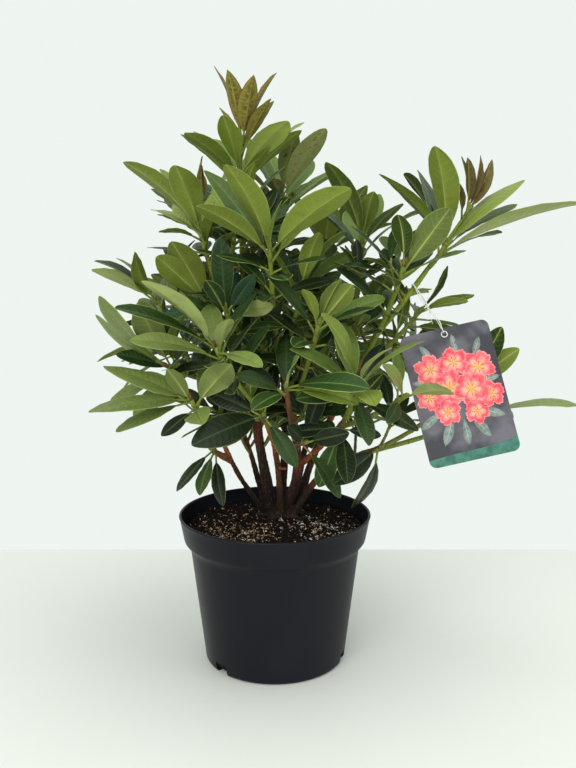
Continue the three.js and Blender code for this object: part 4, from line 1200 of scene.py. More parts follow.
def toward(colour, other, share):
    """A colour part of the way to another."""
    return tuple(lerp(a, b, share) for a, b in zip(colour, other))


def leaf_finish(name, colour, veins):
    """One side of a leaf: paler veins and midrib, drifts of light and shade, and blotches."""
    under, dark = name.startswith("under"), name in DARK_TOPS
    gloss = 0.2 if dark or name == "leaf_rich" else 0.17
    made = Finish(name, 0.52 if under else 0.4, 0.14 if under else gloss)
    tree = made.tree
    lines = made.place(veins, Pairs=11.0 if under else 12.0, Sharpness=0.13 if under else 0.1)
    mottle, away = lines["Mottle"], lines["Away"]
    tone = node(tree, "Attribute", attribute_name="tone").outputs["Fac"]
    base = made.mix(tone, shade(colour, 0.78), toward(shade(colour, 1.14), (0.45, 0.52, 0.1), 0.03))
    base = made.mix(remap(tree, mottle, 0.35, 0.7, 0.0, 0.3), base, shade(colour, 0.78))
    to_pale = 0.4 if under else (0.028 if dark else 0.06)
    pale = toward(shade(colour, 1.0 if under else 1.4), (0.5, 0.56, 0.14), to_pale)
    base = made.mix(times(tree, lines["Veins"], 0.34 if under else 0.3), base, pale)
    base = made.mix(remap(tree, away, 0.34, 0.04, 0.0, 0.3), base, pale)
    drift = noise_at(tree, 24.0, 2.0, Roughness=0.55)
    lit = toward(shade(colour, 1.2), (0.5, 0.5, 0.1), 0.06)
    base = made.mix(remap(tree, drift, 0.52, 0.7, 0.0, 0.34), base, shade(colour, 0.68))
    base = made.mix(remap(tree, drift, 0.48, 0.3, 0.0, 0.26), base, lit)
    if "bronze" in name or "copper" in name:
        base = blotch(made, base, away, name.endswith("bronzed"))
    made.colour(base)
    made.rough(remap(tree, mottle, 0.3, 0.7, *((0.5, 0.68) if under else (0.32, 0.46))))
    height = plus(tree, times(tree, lines["Veins"], 0.5 if under else -0.6),
                  times(tree, lines["Quilt"], 0.35))
    height = plus(tree, height, times(tree, mottle, 0.25))
    made.bump(height, 0.55, 0.0007)
    return made.material


def blotch(made, base, away, spotted):
    """Brown laid in small spots or broad clouds, thinning out toward the leaf's edge."""
    scale, low, high = (95.0, 0.57, 0.66) if spotted else (52.0, 0.4, 0.58)
    brown = (0.085, 0.04, 0.016) if spotted else (0.105, 0.058, 0.014)
    cloud = noise_at(made.tree, scale, 3.0, Roughness=0.65)
    near = remap(made.tree, away, 0.25, 0.7, 1.0, 0.25)
    share = times(made.tree, remap(made.tree, cloud, low, high, 0.0, 0.8), near)
    return made.mix(share, base, brown)


def plain_growth(name, colour, other, grain, roughness=0.5, fine=700.0, broad=60.0):
    """Rind, rib, bud or thread: two colours clouded together, with a fine raised grain."""
    made = Finish(name, roughness, 0.25)
    tree = made.tree
    looks = made.place(grain, Fine=fine, Broad=broad, Stretch=0.35)
    base = made.mix(remap(tree, looks["Cloud"], 0.35, 0.68), colour, other)
    base = made.mix(remap(tree, looks["Grain"], 0.4, 0.75, 0.0, 0.35), base, shade(colour, 0.6))
    made.colour(base)
    made.rough(remap(tree, looks["Grain"], 0.3, 0.7, roughness - 0.08, roughness + 0.12))
    made.bump(looks["Grain"], 0.3, 0.0008)
    return made.material


def bark_finish(grain):
    """Bark that goes from dark wood through red-brown to yellow-green by the tone."""
    made = Finish("bark", 0.75, 0.2)
    tree = made.tree
    looks = made.place(grain, Fine=520.0, Broad=70.0, Stretch=0.22)
    age = node(tree, "Attribute", attribute_name="tone").outputs["Fac"]
    drift = times(tree, maths(tree, "SUBTRACT", looks["Cloud"], 0.5), 0.5)
    ramp = node(tree, "ValToRGB", {"Fac": plus(tree, age, drift)})
    elements = ramp.color_ramp.elements
    while len(elements) < len(BARK_STOPS):
        elements.new(0.5)
    for element, (place, colour) in zip(elements, BARK_STOPS):
        element.position = place
        element.color = (*colour, 1.0)
    base = made.mix(remap(tree, looks["Grain"], 0.42, 0.66, 0.0, 0.55), ramp.outputs["Color"],
                    (0.02, 0.013, 0.009))
    made.colour(made.mix(times(tree, looks["Specks"], 0.25), base, (0.3, 0.22, 0.13)))
    made.rough(remap(tree, looks["Grain"], 0.3, 0.7, 0.62, 0.9))
    made.bump(looks["Grain"], 0.55, 0.0012)
    return made.material


def pot_finish(grain, colour):
    """Moulded plastic with a thin film of dust."""
    made = Finish("black_moulded_plastic", 0.4, 0.13)
    tree = made.tree
    looks = made.place(grain, Fine=1400.0, Broad=9.0, Stretch=0.5)
    dust = remap(tree, looks["Cloud"], 0.45, 0.75, 0.0, 0.3)
    made.colour(made.mix(dust, colour, toward(colour, (0.07, 0.07, 0.07), 0.2)))
    made.rough(remap(tree, looks["Cloud"], 0.3, 0.75, 0.32, 0.5))
    made.bump(looks["Grain"], 0.12, 0.0004)
    return made.material


def crumb_finish(name, colour, grain):
    made = Finish(name, 0.95, 0.15)
    looks = made.place(grain, Fine=900.0, Broad=220.0)
    cloud = remap(made.tree, looks["Cloud"], 0.35, 0.7)
    made.colour(made.mix(cloud, colour, shade(colour, 0.55)))
    made.bump(looks["Grain"], 0.7, 0.0015)
    return made.material


def card_finish(name, colour, other, grain):
    """Printed card under a thin clear film. Its ground clouds broadly and its inks finely."""
    made = Finish(name, 0.32)
    tree = made.tree
    looks = made.place(grain, Fine=2200.0, Broad=26.0 if name == "card_ground" else 110.0)
    made.colour(made.mix(remap(tree, looks["Cloud"], 0.36, 0.64), colour, other))
    made.rough(remap(tree, looks["Cloud"], 0.3, 0.7, 0.26, 0.38))
    made.bump(looks["Grain"], 0.06, 0.0003)
    return made.material


class Finishes(dict):
    """Every material, made once and looked up by its name."""

    def __init__(self, settings):
        super().__init__()
        veins, grain = make_vein_group(), make_grain_group()
        for name, colour in LEAF_COLOURS.items():
            self[name] = leaf_finish(name, colour, veins)
        for name, colour in RIB_COLOURS.items():
            self[name] = plain_growth(name, colour, shade(colour, 0.75), grain)
        for name, (colour, other, roughness, fine) in RINDS.items():
            self[name] = plain_growth(name, colour, other, grain, roughness, fine)
        green = tuple(settings.twig_colour)
        self["twig_green"] = plain_growth("twig_green", green, shade(green, 0.7), grain, 0.48, 600, 80)
        self["bark"] = bark_finish(grain)
        self["pot_black"] = pot_finish(grain, tuple(settings.pot_colour))
        for name, colour in CRUMB_COLOURS.items():
            self[name] = crumb_finish(name, colour, grain)
        for name, (colour, other) in CARD_COLOURS.items():
            self[name] = card_finish(name, colour, other, grain)

STATE = {}


def plant():
    """The grown plant, made once."""
    if "plant" not in STATE:
        STATE["plant"] = Plant()
    return STATE["plant"]


def finishes():
    """Every finish, made once."""
    if "finishes" not in STATE:
        STATE["finishes"] = Finishes(bpy.context.scene.rhododendron)
    return STATE["finishes"]


# ---- pot and mix

HEEL_STEPS, COLLAR_STEPS, LIP_STEPS = 5, 6, 6


def pot_profile():
    """The wall's outside from the middle of the underside up, over the rim, and down inside."""
    foot, heel, heel_z = POT["foot_radius"], POT["heel_radius"], POT["heel_height"]
    neck, neck_z = POT["neck_radius"], POT["neck_height"]
    collar, collar_z = POT["collar_radius"], POT["collar_foot"]
    rim, top, wall, floor, lip = (POT[key] for key in ("rim_radius", "height", "wall", "floor", "lip"))
    brow, brow_z = rim - POT["rim_step"], top - POT["rim_drop"]
    bulge = collar - neck
    outside = [(0, 0), (foot * 0.5, 0), (foot, 0)]
    for i in range(1, HEEL_STEPS + 1):
        turn = math.pi / 2 * i / HEEL_STEPS
        outside.append((foot + (heel - foot) * math.sin(turn), heel_z * (1 - math.cos(turn))))
    outside += [(lerp(heel, neck, s), lerp(heel_z, neck_z, s)) for s in (0.2, 0.4, 0.6, 0.8, 0.985, 1)]
    for i in range(1, COLLAR_STEPS + 1):
        s = i / COLLAR_STEPS
        outside.append((neck + bulge * (s * s * (3 - 2 * s)), lerp(neck_z, collar_z, s)))
    outside += [(lerp(collar, brow, s), lerp(collar_z, brow_z, s)) for s in (0.3, 0.7, 1)]
    for i in range(LIP_STEPS + 1):
        turn = math.pi * i / LIP_STEPS
        outside.append((rim - lip + lip * math.cos(turn), top - lip + lip * math.sin(turn)))
    inside = [(brow - wall, brow_z), (collar - wall, collar_z + 0.6),
              (neck + 0.5 * bulge - wall, neck_z + 5.4), (neck - wall, neck_z + 1),
              (heel - wall, heel_z + 1), (foot - wall, floor), (0, floor)]
    return outside + inside


def spin(profile, sides):
    """A closed body turned about the Z axis from an outline that starts and ends on it."""
    points, faces, rows = [], [], []
    for radius, height in profile:
        if radius < 1e-6:
            rows.append([len(points)])
            points.append(Vector((0, 0, height)))
            continue
        rows.append(list(range(len(points), len(points) + sides)))
        points += [Vector((radius * math.cos(t), radius * math.sin(t), height)) for t in turns_of(sides)]
    for low, high in zip(rows, rows[1:]):
        for j in range(sides):
            k = (j + 1) % sides
            if len(low) == 1:
                faces.append((low[0], high[k], high[j]))
            elif len(high) == 1:
                faces.append((low[j], low[k], high[0]))
            else:
                faces.append((low[j], low[k], high[k], high[j]))
    return points, faces


def smooth_by_angle(piece, degrees):
    for polygon in piece.data.polygons:
        polygon.use_smooth = True
    piece.data.set_sharp_from_angle(angle=math.radians(degrees))


def apply_modifier(piece, kind, **settings):
    modifier = piece.modifiers.new(kind.lower(), kind)
    for key, value in settings.items():
        setattr(modifier, key, value)
    bpy.context.view_layer.objects.active = piece
    with bpy.context.temp_override(object=piece, active_object=piece, selected_objects=[piece]):
        bpy.ops.object.modifier_apply(modifier=modifier.name)


def make_pot(sides):
    """The turned pot with its drain notches cut out of the heel."""
    shape = Shape(["pot_black"])
    shape.add(*spin(pot_profile(), sides), "pot_black")
    pot = shape.piece("pot_body", finishes())
    half = NOTCH["width"] / 2
    for bearing in NOTCH["bearings"]:
        turn = Matrix.Rotation(math.radians(bearing), 3, "Z")
        cutter = Shape(["pot_black"])
        rings = []
        for z in (-NOTCH["height"], NOTCH["height"]):
            rings.append([turn @ Vector((POT["heel_radius"] + x * NOTCH["depth"], y * half, z))
                          for x, y in ((-1, -1), (1, -1), (1, 1), (-1, 1))])
        cutter.add(*join_rings(rings), "pot_black")
        tool = cutter.piece("notch_cutter", finishes())
        apply_modifier(pot, "BOOLEAN", operation="DIFFERENCE", object=tool, solver="EXACT")
        bpy.data.objects.remove(tool)
    smooth_by_angle(pot, 35)
    return dress(pot, "pot", "pot")


def mix_height(x, y):
    """The mix's level at a place: a mound round the crown that falls to the pot's wall."""
    away = math.hypot(x - CROWN["x"], y - CROWN["y"])
    fall = min(max((away - MIX["plateau"]) / MIX["slope"], 0), 1)
    ripple = MIX["ripple"] * fall * (math.sin(x / 7) + math.cos(y / 9 + x / 21))
    return MIX["top"] - (MIX["top"] - MIX["edge_height"]) * (1 - (1 - fall) ** 2) * 0.8 - abs(ripple)


def mix_surface(x, y):
    """The mix's crumbly top at a place, in millimetres."""
    lumps = noise.fractal(Vector((x, y, 0)) * 0.09, 1.0, 2.2, 4)
    fine = noise.fractal(Vector((x, y, 7)) * 0.45, 1.0, 2.0, 3)
    return mix_height(x, y) + MIX["lumps"] * lumps + MIX["fine"] * fine


def make_mix(seed, crumbs):
    """The body of the mix in the pot, and the crumbs strewn on it."""
    neck, heel = (POT[key] - POT["wall"] - CLEARANCE for key in ("neck_radius", "heel_radius"))
    edge = POT["collar_radius"] - POT["wall"] - 0.5
    low, rings = POT["floor"] + CLEARANCE, MIX["rings"]
    profile = [(0, low), (heel - 4, low), (heel, POT["heel_height"] + 1), (neck, POT["neck_height"]),
               (edge, MIX["edge_height"] - 4)]
    profile += [(edge * (1 - i / rings), 0) for i in range(rings)] + [(0, 0)]
    points, faces = spin(profile, MIX["sides"])
    for p in points:
        if p.z == 0:
            p.z = mix_surface(p.x, p.y)
    shape = Shape(["mix_dark"])
    shape.add(points, faces, "mix_dark")
    dress(shape.piece("potting_mix_body", finishes()), "mix", "potting_mix")
    draws = Draws(seed)
    grit = Shape(list(CRUMB_COLOURS))
    for _ in range(crumbs):
        turn, away = draws.between(0, math.tau), edge * math.sqrt(draws.next()) * 0.985
        x, y = away * math.cos(turn), away * math.sin(turn)
        name, size, longest = "mix_dark", draws.between(*CRUMBS["dark"]), CRUMBS["longest"]
        pick = draws.next()
        if pick < CRUMBS["brown_below"]:
            name, size = "mix_brown", draws.between(*CRUMBS["brown"])
        kind = "mix_straw" if pick > CRUMBS["straw_above"] else None
        clump = 0.5 + 1.5 * noise.noise(Vector((x * 0.11, y * 0.11, 3)))
        for patch, px, py, reach in MIX_PATCHES:
            if draws.next() < clump * (1 - math.hypot(x - px, y - py) / reach):
                kind = patch
        if kind:
            name = SPECKS[kind][int(draws.next() * len(SPECKS[kind]))]
            size, longest = draws.between(*CRUMBS["bright"]), CRUMBS["longest_bright"]
        grit.add(*crumb(x, y, size, longest, draws), name)
    dress(grit.piece("potting_mix_crumbs", finishes(), smooth=False), "mix", "potting_mix")


def crumb(x, y, size, longest, draws):
    """One crumb: an uneven eight-faced lump, sunk a little into the surface."""
    centre = Vector((x, y, mix_surface(x, y) + size * 0.3))
    angle = draws.between(0, math.tau)
    spin_by = Matrix.Rotation(angle, 3, Vector((draws.next(), draws.next(), 1)).normalized())
    long, flat = draws.between(1, longest), draws.between(0.4, 0.9)
    ends = [Vector((long, 0, 0)), Vector((-long, 0, 0)), Vector((0, 1, 0)), Vector((0, -1, 0)),
            Vector((0, 0, flat)), Vector((0, 0, -flat))]
    points = [centre + spin_by @ (e * size * draws.between(0.7, 1.1)) for e in ends]
    faces = [(0, 2, 4), (2, 1, 4), (1, 3, 4), (3, 0, 4), (2, 0, 5), (1, 2, 5), (3, 1, 5), (0, 3, 5)]
    return points, faces


# ---- wood


def make_wood(voxel):
    """Stems, boughs, stubs and crown, melted together and given the bark's relief."""
    grown = plant()
    shape = Shape(["bark"])
    marks = []
    for limb in grown.limbs.values():
        shares = shares_of(LIMB["steps"] * limb.spans)
        centres, radii = limb.along(shares)
        swell = [1 + LIMB["swell"] * math.sin(23 * s + len(limb.name)) + LIMB["flare"] * math.exp(-s * 9)
                 for s in shares]
        shape.add(*tube(centres, [r * w for r, w in zip(radii, swell)], LIMB["sides"]), "bark")
        old, young = LIMB_AGES[limb.name]
        marks += [(c, lerp(old, young, s ** 1.6)) for c, s in zip(centres, shares)]
    for stem, share, end, radius in STUBS:
        start, end = grown.limbs[stem].line.at(share), Vector(end)
        middle = start.lerp(end, 0.5) + Vector((0, 0, -1))
        shape.add(*tube([start, middle, end], [radius * 1.3, radius, radius * 0.95], 10), "bark")
        marks += [(end, 0.5), (middle, 0.46)]
    outline = [(r * CROWN["radius"], z * CROWN["height"]) for r, z in CROWN_OUTLINE]
    crown, crown_faces = spin(outline, CROWN["sides"])
    for p in crown:
        swell = 1 + 2 * CROWN["lobe_depth"] * math.cos(CROWN["lobes"] * math.atan2(p.y, p.x))
        p.x, p.y, p.z = p.x * swell + CROWN["x"], p.y * swell + CROWN["y"], p.z + MIX["top"] - 3
    shape.add(crown, crown_faces, "bark")
    marks += [(p, 0.02) for p in crown[::3]]
    wood = shape.piece("woody_frame", finishes())
    apply_modifier(wood, "REMESH", mode="VOXEL", voxel_size=voxel * MM, use_smooth_shade=True)
    apply_modifier(wood, "SMOOTH", factor=0.5, iterations=4)
    carve_bark(wood.data, marks)
    return dress(wood, "bark", *WOOD_NODES)


def carve_bark(mesh, marks):
    """Gives each point the age of the nearest mark, and moves it by the bark's relief."""
    tree = KDTree(len(marks))
    for i, (place, _) in enumerate(marks):
        tree.insert(place * MM, i)
    tree.balance()
    tones, moved = [], []
    for at, normal in [(v.co.copy(), v.normal.copy()) for v in mesh.vertices]:
        tones.append(marks[tree.find(at)[1]][1])
        place = at / MM
        drawn = Vector((place.x, place.y, place.z * 0.3))
        relief = LIMB["grain"] * noise.fractal(drawn * 0.9, 0.9, 2.1, 3)
        relief += LIMB["knots"] * noise.noise(place * 0.25)
        moved.extend(at + normal * (relief * MM))
    mesh.vertices.foreach_set("co", moved)
    melted = mesh.attributes.get("tone")
    if melted:
        mesh.attributes.remove(melted)
    mesh.attributes.new("tone", "FLOAT", "POINT").data.foreach_set("value", tones)
    mesh.update()


# ---- twigs and buds

TWIG_STEPS = 12
SCARS = (0.3, 0.52, 0.9)
BROWN_BUDS = 0.3
BUD_OUTLINE = ((0, 0.9), (0.2, 1.1), (0.45, 1.05), (0.7, 0.72), (0.9, 0.32))
BUD_SIDES, BUD_SCALES = 8, 9


def make_twigs(sides):
    """Every twig with its ring scars, and the bud or young rise at its end."""
    shape = Shape(["twig_green", "twig_olive", "twig_red", "scar", "bud_green", "bud_brown"])
    for k, twig in enumerate(plant().twigs):
        draws = Draws(331 * (k + 1))
        finish = TWIG_FINISH.get(twig.tone, "twig_green")
        shares = shares_of(TWIG_STEPS)
        centres, radii = twig.along(shares)
        radii = [r * (1 + 0.06 * math.sin(19 * s + k)) for r, s in zip(radii, shares)]
        radii[-1] *= 1.12
        shape.add(*tube(centres, radii, sides), finish, tone=draws.next())
        for share in SCARS:
            at, along = twig.line.at(share), twig.line.direction(share)
            radius = twig.radius(share)
            ring = [at + along * s for s in (-0.5, -0.2, 0.2, 0.5)]
            shape.add(*tube(ring, [radius, radius * 1.14, radius * 1.14, radius], sides), "scar")
        if twig.rise:
            top = [twig.whorl + twig.rise * s for s in (-0.1, 0.3, 0.65, 1)]
            shape.add(*tube(top, [2.3, 2.1, 2, 2], sides), finish)
            add_bud(shape, top[-1], twig.rise.normalized(), 9, 1.9, "bud_green")
        else:
            add_bud(shape, twig.whorl, twig.axis, TWIG["bud_length"] * draws.between(0.8, 1.15),
                    twig.radii[1] * 0.85, "bud_brown" if draws.next() < BROWN_BUDS else "bud_green")
    return dress(shape.piece("twigs", finishes()), "bark", *SHOOT_NODES)


def add_bud(shape, foot, axis, length, radius, finish):
    """A pointed bud wrapped in overlapping scales."""
    _, east, north = whorl_frame(axis)
    rings = [[foot + axis * (length * s) + (east * math.cos(t) + north * math.sin(t)) * (radius * w)
              for t in turns_of(BUD_SIDES)] for s, w in BUD_OUTLINE]
    shape.add(*join_rings(rings, foot + axis * length), finish)
    for i in range(BUD_SCALES):
        turn = math.radians(GOLDEN_ANGLE * i)
        out = east * math.cos(turn) + north * math.sin(turn)
        side = axis.cross(out)
        base = foot + axis * (length * 0.07 * i)
        tip = base + axis * (length * 0.42) + out * (radius * 0.75)
        hem = base + out * (radius * 1.02)
        bulge = base + axis * (length * 0.2) + out * (radius * 1.42)
        points = [hem - side * radius * 0.7, hem + side * radius * 0.7, bulge, tip, base]
        faces = [(0, 1, 2), (0, 2, 3), (2, 1, 3), (0, 3, 4), (3, 1, 4), (0, 4, 1)]
        shape.add(points, faces, finish)


# ---- foliage


def make_leaves(kind, name, slot):
    """All outer, inner or young leaves as one piece."""
    shape = Shape(LEAF_SLOTS)
    rows, columns = (INNER_ROWS, INNER_COLUMNS) if kind == "inner" else (ROWS, COLUMNS)
    for leaf in plant().leaves[kind]:
        add_leaf(shape, leaf, rows, columns)
    return dress(shape.piece(name, finishes()), slot, *SHOOT_NODES)


# ---- label and tie

CORNER_STEPS = 7


def outline_card():
    """The card's rounded outline, anticlockwise, with its hole at the origin."""
    half, corner = LABEL["width"] / 2 - LABEL["corner"], LABEL["corner"]
    top = LABEL["hole_drop"] - corner
    bottom = LABEL["hole_drop"] - LABEL["height"] + corner
    line = []
    for k, (x, y) in enumerate(((half, top), (-half, top), (-half, bottom), (half, bottom))):
        for i in range(CORNER_STEPS + 1):
            turn = math.pi / 2 * (k + i / CORNER_STEPS)
            line.append((x + corner * math.cos(turn), y + corner * math.sin(turn)))
    return line


def make_label():
    """The card with its hole, and the print on its front."""
    place = label_place()
    thick = LABEL["thickness"] / 2
    card = Shape(list(CARD_COLOURS))
    outer = outline_card()
    count = len(outer)
    turns = [math.atan2(y, x) for x, y in outer]
    hole = [(LABEL["hole_radius"] * math.cos(t), LABEL["hole_radius"] * math.sin(t)) for t in turns]
    points = [place @ Vector((x, y, z)) for z in (-thick, thick) for ring in (outer, hole) for x, y in ring]
    faces, finish = [], []
    for i in range(count):
        k = (i + 1) % count
        back = (i, count + i, count + k, k)
        front = (2 * count + i, 2 * count + k, 3 * count + k, 3 * count + i)
        rim = (i, k, 2 * count + k, 2 * count + i)
        bore = (count + i, 3 * count + i, 3 * count + k, count + k)
        faces += [back, front, rim, bore]
        finish += ["card_white", "card_ground", "card_white", "card_white"]
    card.add(points, faces, finish)
    dress(card.piece("label_card_body", finishes(), smooth=False), "label", "label_card")
    make_print(place, thick)


def petal(length, width, turn, centre, steps=9):
    """A rounded petal's outline from its foot at centre."""
    line = []
    for side in (1, -1):
        shares = range(steps + 1) if side == 1 else range(steps - 1, 0, -1)
        for i in shares:
            s = i / steps
            half = width / 2 * math.sin(math.pi * s ** 1.3) ** 0.8 if 0 < s < 1 else 0.0
            line.append((length * s, -side * half))
    c, n = math.cos(turn), math.sin(turn)
    return [(centre[0] + c * x - n * y, centre[1] + n * x + c * y) for x, y in line]


RUFFLE_STEPS = 90
RUFFLE_WAVES = ((0.05, 7), (0.035, 17), (0.025, 29))


def ruffle(centre, reach, turn, notch, seed):
    """The outline of five joined petals with a wavy margin."""
    draws = Draws(seed)
    phases = [draws.between(0, math.tau) for _ in range(3)]
    line = []
    for angle in turns_of(RUFFLE_STEPS):
        lobe = abs(math.cos(2.5 * angle)) ** 0.55
        wave = sum(w * math.sin(n * angle + p) for (w, n), p in zip(RUFFLE_WAVES, phases))
        away = reach * ((1 - notch) + notch * lobe + wave)
        line.append((centre[0] + away * math.cos(angle + turn), centre[1] + away * math.sin(angle + turn)))
    return line


def make_print(place, thick):
    """Scattered ruffled blossoms and plain leaves, with a green band at the foot."""
    art = Shape(list(CARD_COLOURS))
    level = [thick]

    def layer(outline, finish, step=PRINT["step"]):
        """A thin plate of ink. The next one lies a step higher."""
        rings = [[place @ Vector((x, y, z)) for x, y in outline]
                 for z in (thick - PRINT["sunk"], level[0] + PRINT["rise"])]
        art.add(*join_rings(rings), finish)
        level[0] += step

    bottom = LABEL["hole_drop"] - LABEL["height"]
    half, corner = LABEL["width"] / 2, LABEL["corner"]
    for turn, length, x, y in SPRAY_LEAVES:
        bearing = math.radians(turn)
        layer(petal(length, length * 0.3, bearing, (x, y)), "card_leaf")
        layer(petal(length * 0.92, 0.9, bearing, (x, y)), "card_rib")
        for side in (-1, 1):
            for k in range(3):
                root = (x + length * (0.25 + 0.18 * k) * math.cos(bearing),
                        y + length * (0.25 + 0.18 * k) * math.sin(bearing))
                layer(petal(length * 0.17, 0.5, bearing + side * 0.7, root, 3), "card_rib", 0)
    strip = [(half, bottom + 15), (half, bottom + corner)]
    for k, x in ((3, half - corner), (2, -half + corner)):
        arc = [math.pi / 2 * (k + 1 - i / 6) for i in range(7)]
        strip += [(x + corner * math.cos(t), bottom + corner + corner * math.sin(t)) for t in arc]
    brow = bottom + PRINT["band"]
    strip += [(-half, bottom + corner), (-half, brow)]
    strip += [(lerp(-half, half, i / 10), brow + PRINT["band_rise"] * (i / 10) ** 1.6 + math.sin(i * 0.6))
             for i in range(1, 10)]
    layer(strip[::-1], "card_band")
    for k, (centre, reach, degrees) in enumerate(BLOSSOMS):
        turn = math.radians(degrees)
        for size, notch, finish in BLOSSOM_LAYERS:
            layer(ruffle(centre, reach * size, turn, notch, 97 * (k + 1) + int(100 * size)), finish)
        for j in range(7):
            layer(petal(reach * 0.46, 0.7, turn + math.tau * j / 7 + 0.3, centre, 4), "card_red", 0)
    eyelet = [place @ Vector((PRINT["eyelet"] * math.cos(t), PRINT["eyelet"] * math.sin(t), thick))
              for t in turns_of(28)]
    art.add(*tube(eyelet, [0.55] * len(eyelet), 8, closed=True), "card_white")
    dress(art.piece("label_print", finishes(), smooth=False), "label", "label_card")


def make_tie():
    """Thin strands from the bough to a small knot, and two on through the card's hole."""
    line = tie_loop(plant().limbs)
    upper, lower = line[:TIE["turn_points"]], line[TIE["turn_points"]:]
    knot = (upper[0] + upper[-1]) / 2 * 0.44 + (lower[0] + lower[-1]) / 2 * 0.56
    shape = Shape(["tie_white"])

    def strand(path, steps):
        smooth = SmoothLine(path)
        centres = [smooth.at(s) for s in shares_of(steps)]
        shape.add(*tube(centres, [TIE["thread"]] * (steps + 1), TIE["thread_sides"]), "tie_white")

    for sway, lay in ((2.0, 0.0), (-1.8, 0.8), (0.6, 1.6)):
        shift = Vector((lay * 0.5, lay, lay * 0.4))
        path = [knot, upper[-1].lerp(knot, 0.5) + Vector((sway, 0.6, 0)), *reversed(upper),
                upper[0].lerp(knot, 0.5) + Vector((-sway, -0.4, 0)), knot]
        strand([p + shift for p in path], 70)
    for bow in (3.2, 0.4):
        strand([knot, lower[0].lerp(knot, 0.5) + Vector((bow, 0, 1.0)), *lower,
                lower[-1].lerp(knot, 0.5) + Vector((bow * 0.7, -0.4, 0.6)), knot], 60)
    coil = []
    for i in range(25):
        turn = math.tau * 1.5 * i / 24
        coil.append(knot + Vector((1.3 * math.cos(turn), 1.0 * math.sin(turn), lerp(-1.3, 1.3, i / 24))))
    shape.add(*tube(coil, [0.5] * len(coil), TIE["thread_sides"], tip=True), "tie_white")
    tapered = [0.38, 0.37, 0.35, 0.33, 0.28]
    for out in (Vector((6, -3, -4)), Vector((-4, -3, -9)), Vector((2, -4, -13)), Vector((-6, -2, 2))):
        bend = Vector((out.y * 0.2, 0, abs(out.x) * 0.25))
        centres = [knot + out * t + bend * math.sin(math.pi * t) for t in (0, 0.25, 0.5, 0.75, 1)]
        shape.add(*tube(centres, tapered, TIE["thread_sides"], tip=True), "tie_white")
    return dress(shape.piece("label_tie_strands", finishes()), "tie", "label_tie")


# ---- stage


def make_stage(settings):
    """A pale floor, soft light and the camera."""
    mesh = bpy.data.meshes.new("floor")
    reach, back = FLOOR["reach"], FLOOR["back"]
    mesh.from_pydata([(-reach, -reach, 0), (reach, -reach, 0), (reach, back, 0), (-reach, back, 0)], [],
                     [(0, 1, 2, 3)])
    made = Finish("pale_floor", 0.6)
    made.colour(made.mix(noise_at(made.tree, 3.0, 2.0), (0.68, 0.69, 0.65), (0.7, 0.71, 0.67)))
    mesh.materials.append(made.material)
    floor = stand("floor", mesh)
    world = bpy.data.worlds.new("studio")
    world.use_nodes = True
    background = world.node_tree.nodes["Background"]
    background.inputs["Color"].default_value = SKY_COLOUR
    background.inputs["Strength"].default_value = settings.sky_strength
    bpy.context.scene.world = world
    for name, place, size, power in LAMPS:
        lamp = bpy.data.lights.new(name, "AREA")
        lamp.size = size
        lamp.energy = power * settings.lamp_power
        light = stand(name, lamp, place)
        light.rotation_euler = (Vector(LAMP_AIM) - Vector(place)).to_track_quat("-Z", "Y").to_euler()
    lens = bpy.data.cameras.new("view")
    lens.lens = settings.lens
    lens.sensor_width = CAMERA["sensor"]
    camera = stand("view", lens, CAMERA["place"])
    camera.rotation_euler = (math.radians(CAMERA["pitch"]), 0, 0)
    bpy.context.scene.camera = camera
    bpy.context.scene.view_settings.view_transform = "Standard"


def stand(name, data, place=(0, 0, 0)):
    """Puts a new object into the scene."""
    thing = bpy.data.objects.new(name, data)
    thing.location = place
    bpy.context.scene.collection.objects.link(thing)
    return thing


# ---- add-on


class RhododendronSettings(bpy.types.PropertyGroup):
    """Sizes and colours that a user would change."""

    pot_sides: IntProperty(name="Pot Facets", description="Facets round the pot", default=160, min=24)
    pot_colour: FloatVectorProperty(name="Pot Colour", description="Colour of the moulded plastic",
                                    subtype="COLOR", default=(0.0068, 0.0072, 0.0112), min=0, max=1)
    twig_colour: FloatVectorProperty(name="Twig Colour", description="Colour of the young green twigs",
                                     subtype="COLOR", default=(0.2, 0.245, 0.032), min=0, max=1)
    twig_sides: IntProperty(name="Twig Facets", description="Facets round each twig", default=8, min=4)
    crumbs: IntProperty(name="Crumbs", description="Crumbs on the potting mix", default=9500, min=0)
    mix_seed: IntProperty(name="Mix Seed", description="Where the crumbs lie", default=41, min=1)
    bark_grid: FloatProperty(name="Bark Grid", description="Size of the bark mesh's cells, in millimetres",
                             default=1.1, min=0.6, max=3)
    sky_strength: FloatProperty(name="Sky Strength", description="Light from all round",
                                default=0.97, min=0)
    lamp_power: FloatProperty(name="Lamp Power", description="Factor on the studio lamps",
                              default=1.0, min=0)
    lens: FloatProperty(name="Lens", description="Focal length of the camera", default=40.64,
                        subtype="DISTANCE_CAMERA")


class PotOperator(bpy.types.Operator):
    """Mould the pot with its collar, rim and drain notches"""

    bl_idname = "rhododendron.pot"
    bl_label = "Mould the Pot"

    def execute(self, context):
        make_pot(context.scene.rhododendron.pot_sides)
        return {"FINISHED"}


class MixOperator(bpy.types.Operator):
    """Fill the pot with potting mix and strew its crumbs"""

    bl_idname = "rhododendron.mix"
    bl_label = "Fill the Pot"

    def execute(self, context):
        make_mix(context.scene.rhododendron.mix_seed, context.scene.rhododendron.crumbs)
        return {"FINISHED"}


class WoodOperator(bpy.types.Operator):
    """Grow the crown, stems and boughs with their bark"""

    bl_idname = "rhododendron.wood"
    bl_label = "Grow the Wood"

    def execute(self, context):
        make_wood(context.scene.rhododendron.bark_grid)
        return {"FINISHED"}


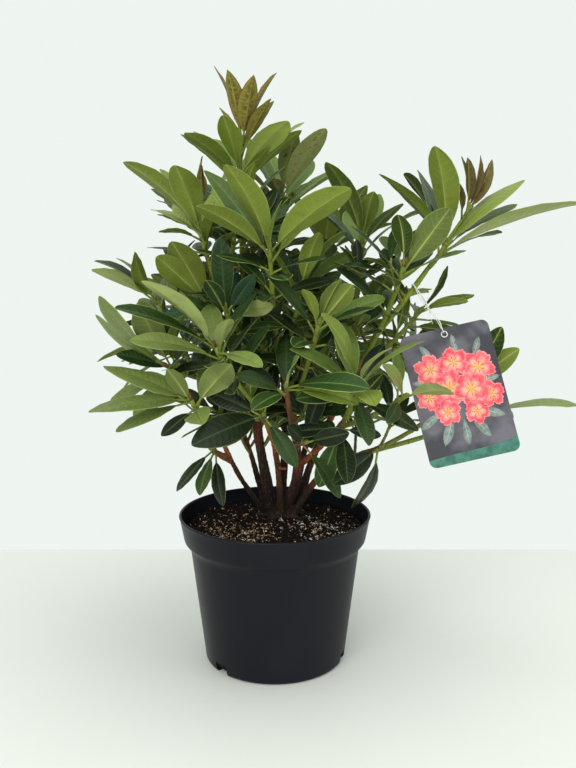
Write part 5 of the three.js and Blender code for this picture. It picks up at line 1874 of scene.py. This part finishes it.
class TwigsOperator(bpy.types.Operator):
    """Grow the twigs and their buds"""

    bl_idname = "rhododendron.twigs"
    bl_label = "Grow the Twigs"

    def execute(self, context):
        make_twigs(context.scene.rhododendron.twig_sides)
        return {"FINISHED"}


class LeavesOperator(bpy.types.Operator):
    """Grow the outer, inner and young leaves"""

    bl_idname = "rhododendron.leaves"
    bl_label = "Grow the Leaves"

    def execute(self, context):
        make_leaves("outer", "leaves_outer", "foliage")
        make_leaves("inner", "leaves_inner", "foliage")
        make_leaves("young", "leaves_young", "young_foliage")
        return {"FINISHED"}


class LabelOperator(bpy.types.Operator):
    """Cut the hanging card, print it, and tie it to its bough"""

    bl_idname = "rhododendron.label"
    bl_label = "Hang the Label"

    def execute(self, context):
        make_label()
        make_tie()
        return {"FINISHED"}


class StageOperator(bpy.types.Operator):
    """Set up the floor, the light and the camera"""

    bl_idname = "rhododendron.stage"
    bl_label = "Set the Stage"

    def execute(self, context):
        make_stage(context.scene.rhododendron)
        return {"FINISHED"}


OPERATORS = (PotOperator, MixOperator, WoodOperator, TwigsOperator, LeavesOperator, LabelOperator,
             StageOperator)


class RhododendronPanel(bpy.types.Panel):
    """Lists the pieces in the order in which they are made"""

    bl_idname = "VIEW3D_PT_rhododendron"
    bl_label = "Potted Rhododendron"
    bl_space_type = "VIEW_3D"
    bl_region_type = "UI"
    bl_category = "Rhododendron"

    def draw(self, context):
        settings = context.scene.rhododendron
        for name in settings.bl_rna.properties.keys():
            if name not in ("rna_type", "name"):
                self.layout.prop(settings, name)
        for operator in OPERATORS:
            self.layout.operator(operator.bl_idname)


CLASSES = (RhododendronSettings, *OPERATORS, RhododendronPanel)


def register():
    for made in CLASSES:
        bpy.utils.register_class(made)
    bpy.types.Scene.rhododendron = PointerProperty(type=RhododendronSettings)


def unregister():
    del bpy.types.Scene.rhododendron
    for made in reversed(CLASSES):
        bpy.utils.unregister_class(made)


def main():
    register()
    for step in ("pot", "mix", "wood", "twigs", "leaves", "label", "stage"):
        getattr(bpy.ops.rhododendron, step)()


if __name__ == "__main__":
    main()
